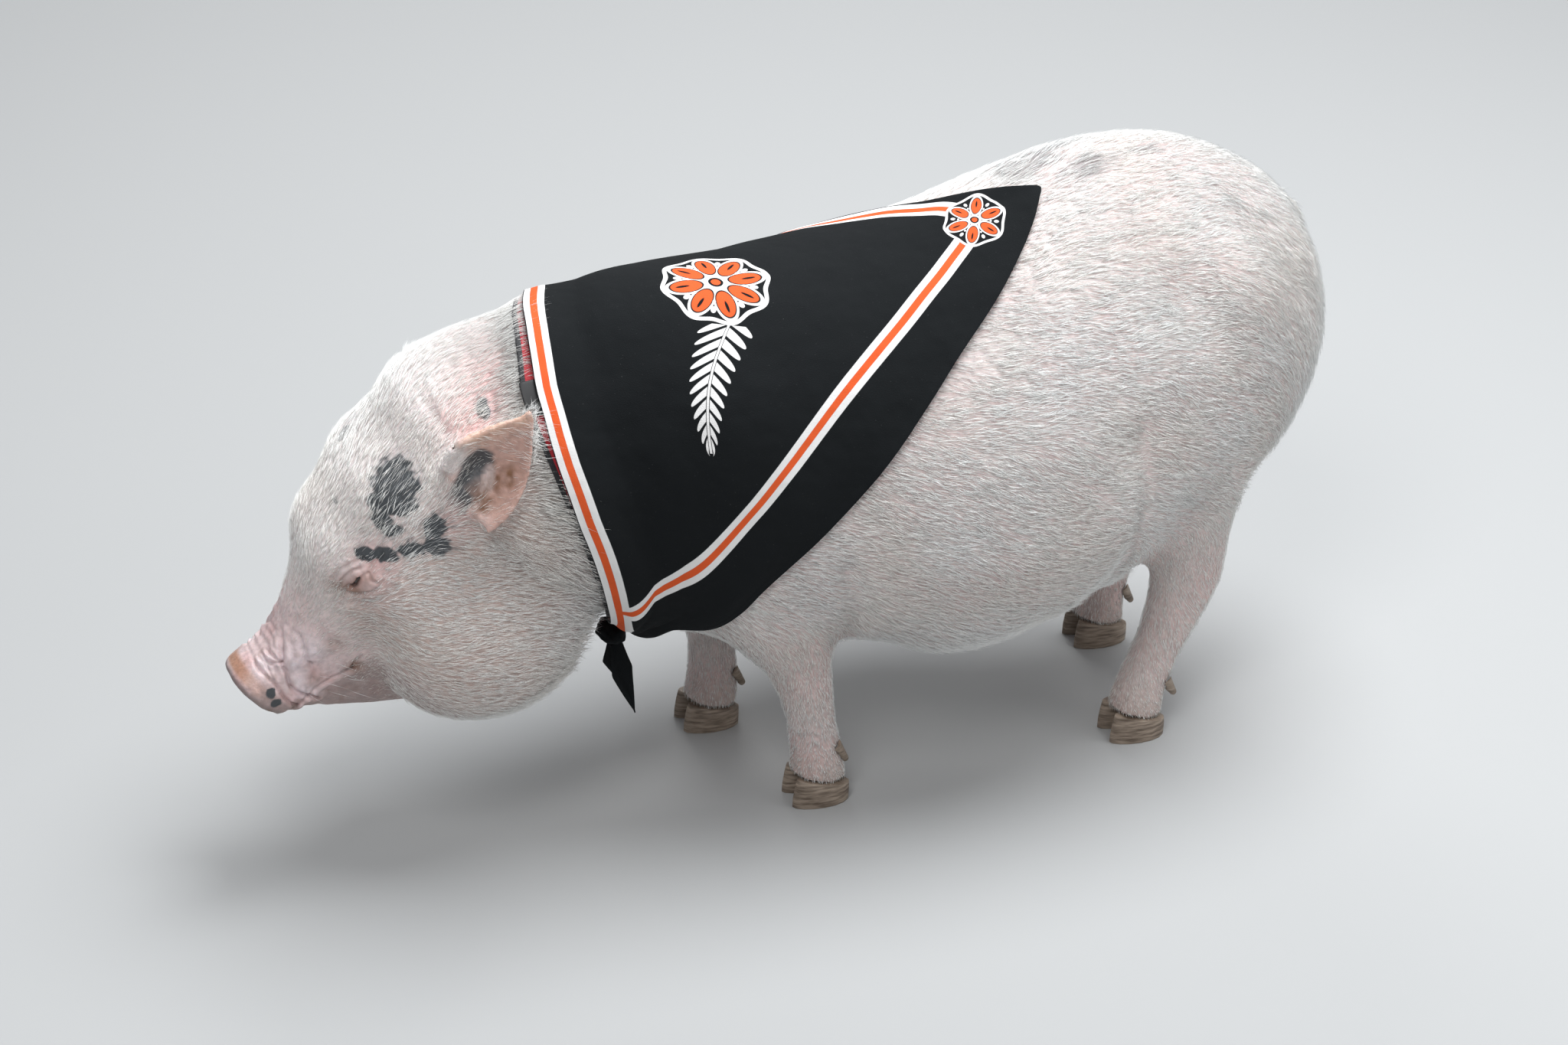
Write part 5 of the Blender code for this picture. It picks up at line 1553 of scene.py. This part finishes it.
def growCoat():
    earShare = skinEar * (1 - earBase(skinPoints))
    perCm = coatDensity(skinPoints, skinNormals, earShare)
    roots, out, corner, weights = scatterRoots(skin, perCm * 10000)
    count = len(roots)
    ear = (earShare[corner] * weights).sum(axis=1)
    back, rise, side = headPlace(roots)
    leg, headward = legShare(roots), headShare(roots)
    shares = {"head": headward, "leg": leg, "face": fade(back, 0.055, 0.125), "ear": ear}
    aboutEye = np.where(side > eyePlace["side"], fade(fromEye(back, rise), 0.012, 0.035), 0)
    foot = fade(roots[:, 2], 0.02, 0.1)
    lengths = coatOf("length", shares) * dice.uniform(*coatSize["lengths"], count)
    lengths = lengths * (1 - coatChanges["shortAtEye"] * aboutEye) * (1 - coatChanges["shortAtFeet"] * foot)
    widths = coatOf("width", shares) * dice.uniform(*coatSize["widths"], count)
    ways = hairLie(roots, out, ear)
    # it stands off most behind the jowl, on the crest and before the collar
    jowl = sum(share for spot in jowlEdge for share in closeToBoth(roots, *spot, 0.04))
    jowl = np.minimum(jowl, 1)
    crest = hump(roots[:, 1], 0.022) * headward * ramp(back, 0.14, 0.2)
    turn, x = aroundNeck(roots)
    nearCollar = hump(x - collarMiddle(turn) + 0.02, 0.014) * ramp(roots[:, 2], 0.16, 0.22)
    lifts = coatOf("lift", shares) * dice.uniform(*coatSize["lifts"], count)
    lifts = lifts + coatChanges["jowlLift"] * jowl + coatChanges["crestLift"] * crest
    lifts = lifts + coatChanges["collarLift"] * nearCollar
    # it is short in front of the ears, and long in them and at the tail's end
    beforeEar = ramp(nearEars(roots, 0.02), 0.004, 0.02) * (1 - 0.8 * earHollow(roots - ways * 0.008))
    tailEnd = onTail(roots) * fade(roots[:, 2], 0.24, 0.31)
    lining = insideEar(roots, out, ear)
    collarTop = nearCollar * ramp(roots[:, 2], 0.28, 0.36)
    longer = coatChanges["longAtJowl"] * jowl + coatChanges["longOnCrest"] * crest
    lengths = lengths * (1 + longer + coatChanges["longAtCollar"] * collarTop)
    atEnds = coatChanges["longAtTail"] * tailEnd + coatChanges["longInEars"] * lining
    lengths = lengths * (0.4 + 0.6 * beforeEar + 0.6 * ear) * (1 + atEnds)
    tones = hairTone(roots, count)
    u, v = skinMap(roots, ear > 0.5, leg > 0.5)
    order = np.argsort(roots[:, 0])
    starts = range(0, count, coatSize["perPiece"])
    for number, start in enumerate(starts):
        part = order[start:start + coatSize["perPiece"]]
        values = [rows[part] for rows in (roots, out, ways, lengths, widths, lifts, tones)]
        tuftMesh(f"coat_{number + 1}", *values, (u[part], v[part]))
    print("coat has", count, "tufts in", len(starts), "pieces")


hair = hairMaterial()
growCoat()

whiskers = {
    "roots": [
        (-0.3963, -0.0362, 0.1869), (-0.39, -0.035, 0.179), (-0.4008, -0.0276, 0.1651),
        (-0.405, -0.03, 0.176), (-0.412, -0.029, 0.184), (-0.386, -0.027, 0.164),
        (-0.399, -0.034, 0.198), (-0.418, -0.026, 0.17),
    ],
    "length": 0.032, "width": 0.00045, "lift": 0.05, "way": (1.0, 0, -0.06), "outward": 0.55,
}


def growWhiskers():
    # a few long hairs by the mouth, on both sides
    tree = treeOf(skin)
    spots = [Vector((x, y * sign, z)) for x, y, z in whiskers["roots"] for sign in (1, -1)]
    roots, out = (np.array(rows) for rows in zip(*(tree.find_nearest(spot)[:2] for spot in spots)))
    count = len(roots)
    way = np.array(whiskers["way"]) + out * whiskers["outward"] + dice.uniform(-0.12, 0.12, (count, 3))
    way /= np.linalg.norm(way, axis=1)[:, None]
    lengths = whiskers["length"] * dice.uniform(0.7, 1.1, count)
    tones = np.tile(np.array(hairColours["white"]), (count, 1))
    noPart = np.zeros(count, bool)
    widths, lifts = (np.full(count, whiskers[key]) for key in ("width", "lift"))
    places = skinMap(roots, noPart, noPart)
    tuftMesh("whiskers", roots, out, way, lengths, widths, lifts, tones, places)


growWhiskers()
print("whiskers grown")

# floor, lights (place, size, power and colour) and the camera as the photo was taken
studio = {
    "floorSize": 14.0, "floorColour": (0.4, 0.405, 0.405), "sky": (0.9, 0.94, 1.0), "skyStrength": 0.26,
    "aimHeight": 0.25,
}
studioLights = {
    "keyLight": ((-1.2, -1.7, 2.8), 1.3, 38, (1, 1, 1)),
    "topLight": ((0.8, 0.1, 3.0), 2.2, 134, (0.96, 0.98, 1)),
    "fillLight": ((2.2, -2.0, 1.5), 2.0, 18, (1, 1, 1)),
    "rimLight": ((0.6, 2.6, 2.2), 1.6, 26, (1, 1, 1)),
}
photoCamera = {
    "azimuth": -21, "elevation": 30, "distance": 3.2, "lens": 90, "sensor": 36, "aim": (0, 0, 0.222),
}


def buildFloor():
    bpy.ops.object.select_all(action="DESELECT")
    bpy.ops.mesh.primitive_plane_add(size=studio["floorSize"], location=(0, 0, 0))
    floor = bpy.context.object
    floor.name = "floor"
    floor.data.materials.append(newMaterial("pale floor", studio["floorColour"], 0.8)[0])


def lookAlong(obj, way):
    obj.rotation_mode = "QUATERNION"
    obj.rotation_quaternion = way.to_track_quat("-Z", "Y")


def addLight(name, place, size, power, colour):
    data = bpy.data.lights.new(name, "AREA")
    data.shape = "DISK"
    data.size = size
    data.energy = power
    data.color = colour
    lamp = newObject(name, data)
    lamp.location = place
    lookAlong(lamp, Vector((0, 0, studio["aimHeight"])) - Vector(place))


buildFloor()
for name, row in studioLights.items():
    addLight(name, *row)
world = bpy.data.worlds.new("studio")
world.use_nodes = True
sky = {"Color": (*studio["sky"], 1), "Strength": studio["skyStrength"]}
setInputs(world.node_tree.nodes["Background"], sky)
bpy.context.scene.world = world
bpy.context.scene.view_settings.view_transform = "Standard"
print("studio lit")

azimuth, elevation = (math.radians(photoCamera[k]) for k in ("azimuth", "elevation"))
level = math.cos(elevation)
away = Vector((math.sin(azimuth) * level, -math.cos(azimuth) * level, math.sin(elevation)))
camera = newObject("camera", bpy.data.cameras.new("camera"))
camera.location = Vector(photoCamera["aim"]) + Vector(animalMiddle) + away * photoCamera["distance"]
lookAlong(camera, -away)
camera.data.lens = photoCamera["lens"]
camera.data.sensor_width = photoCamera["sensor"]
bpy.context.scene.camera = camera

print("scene ready")
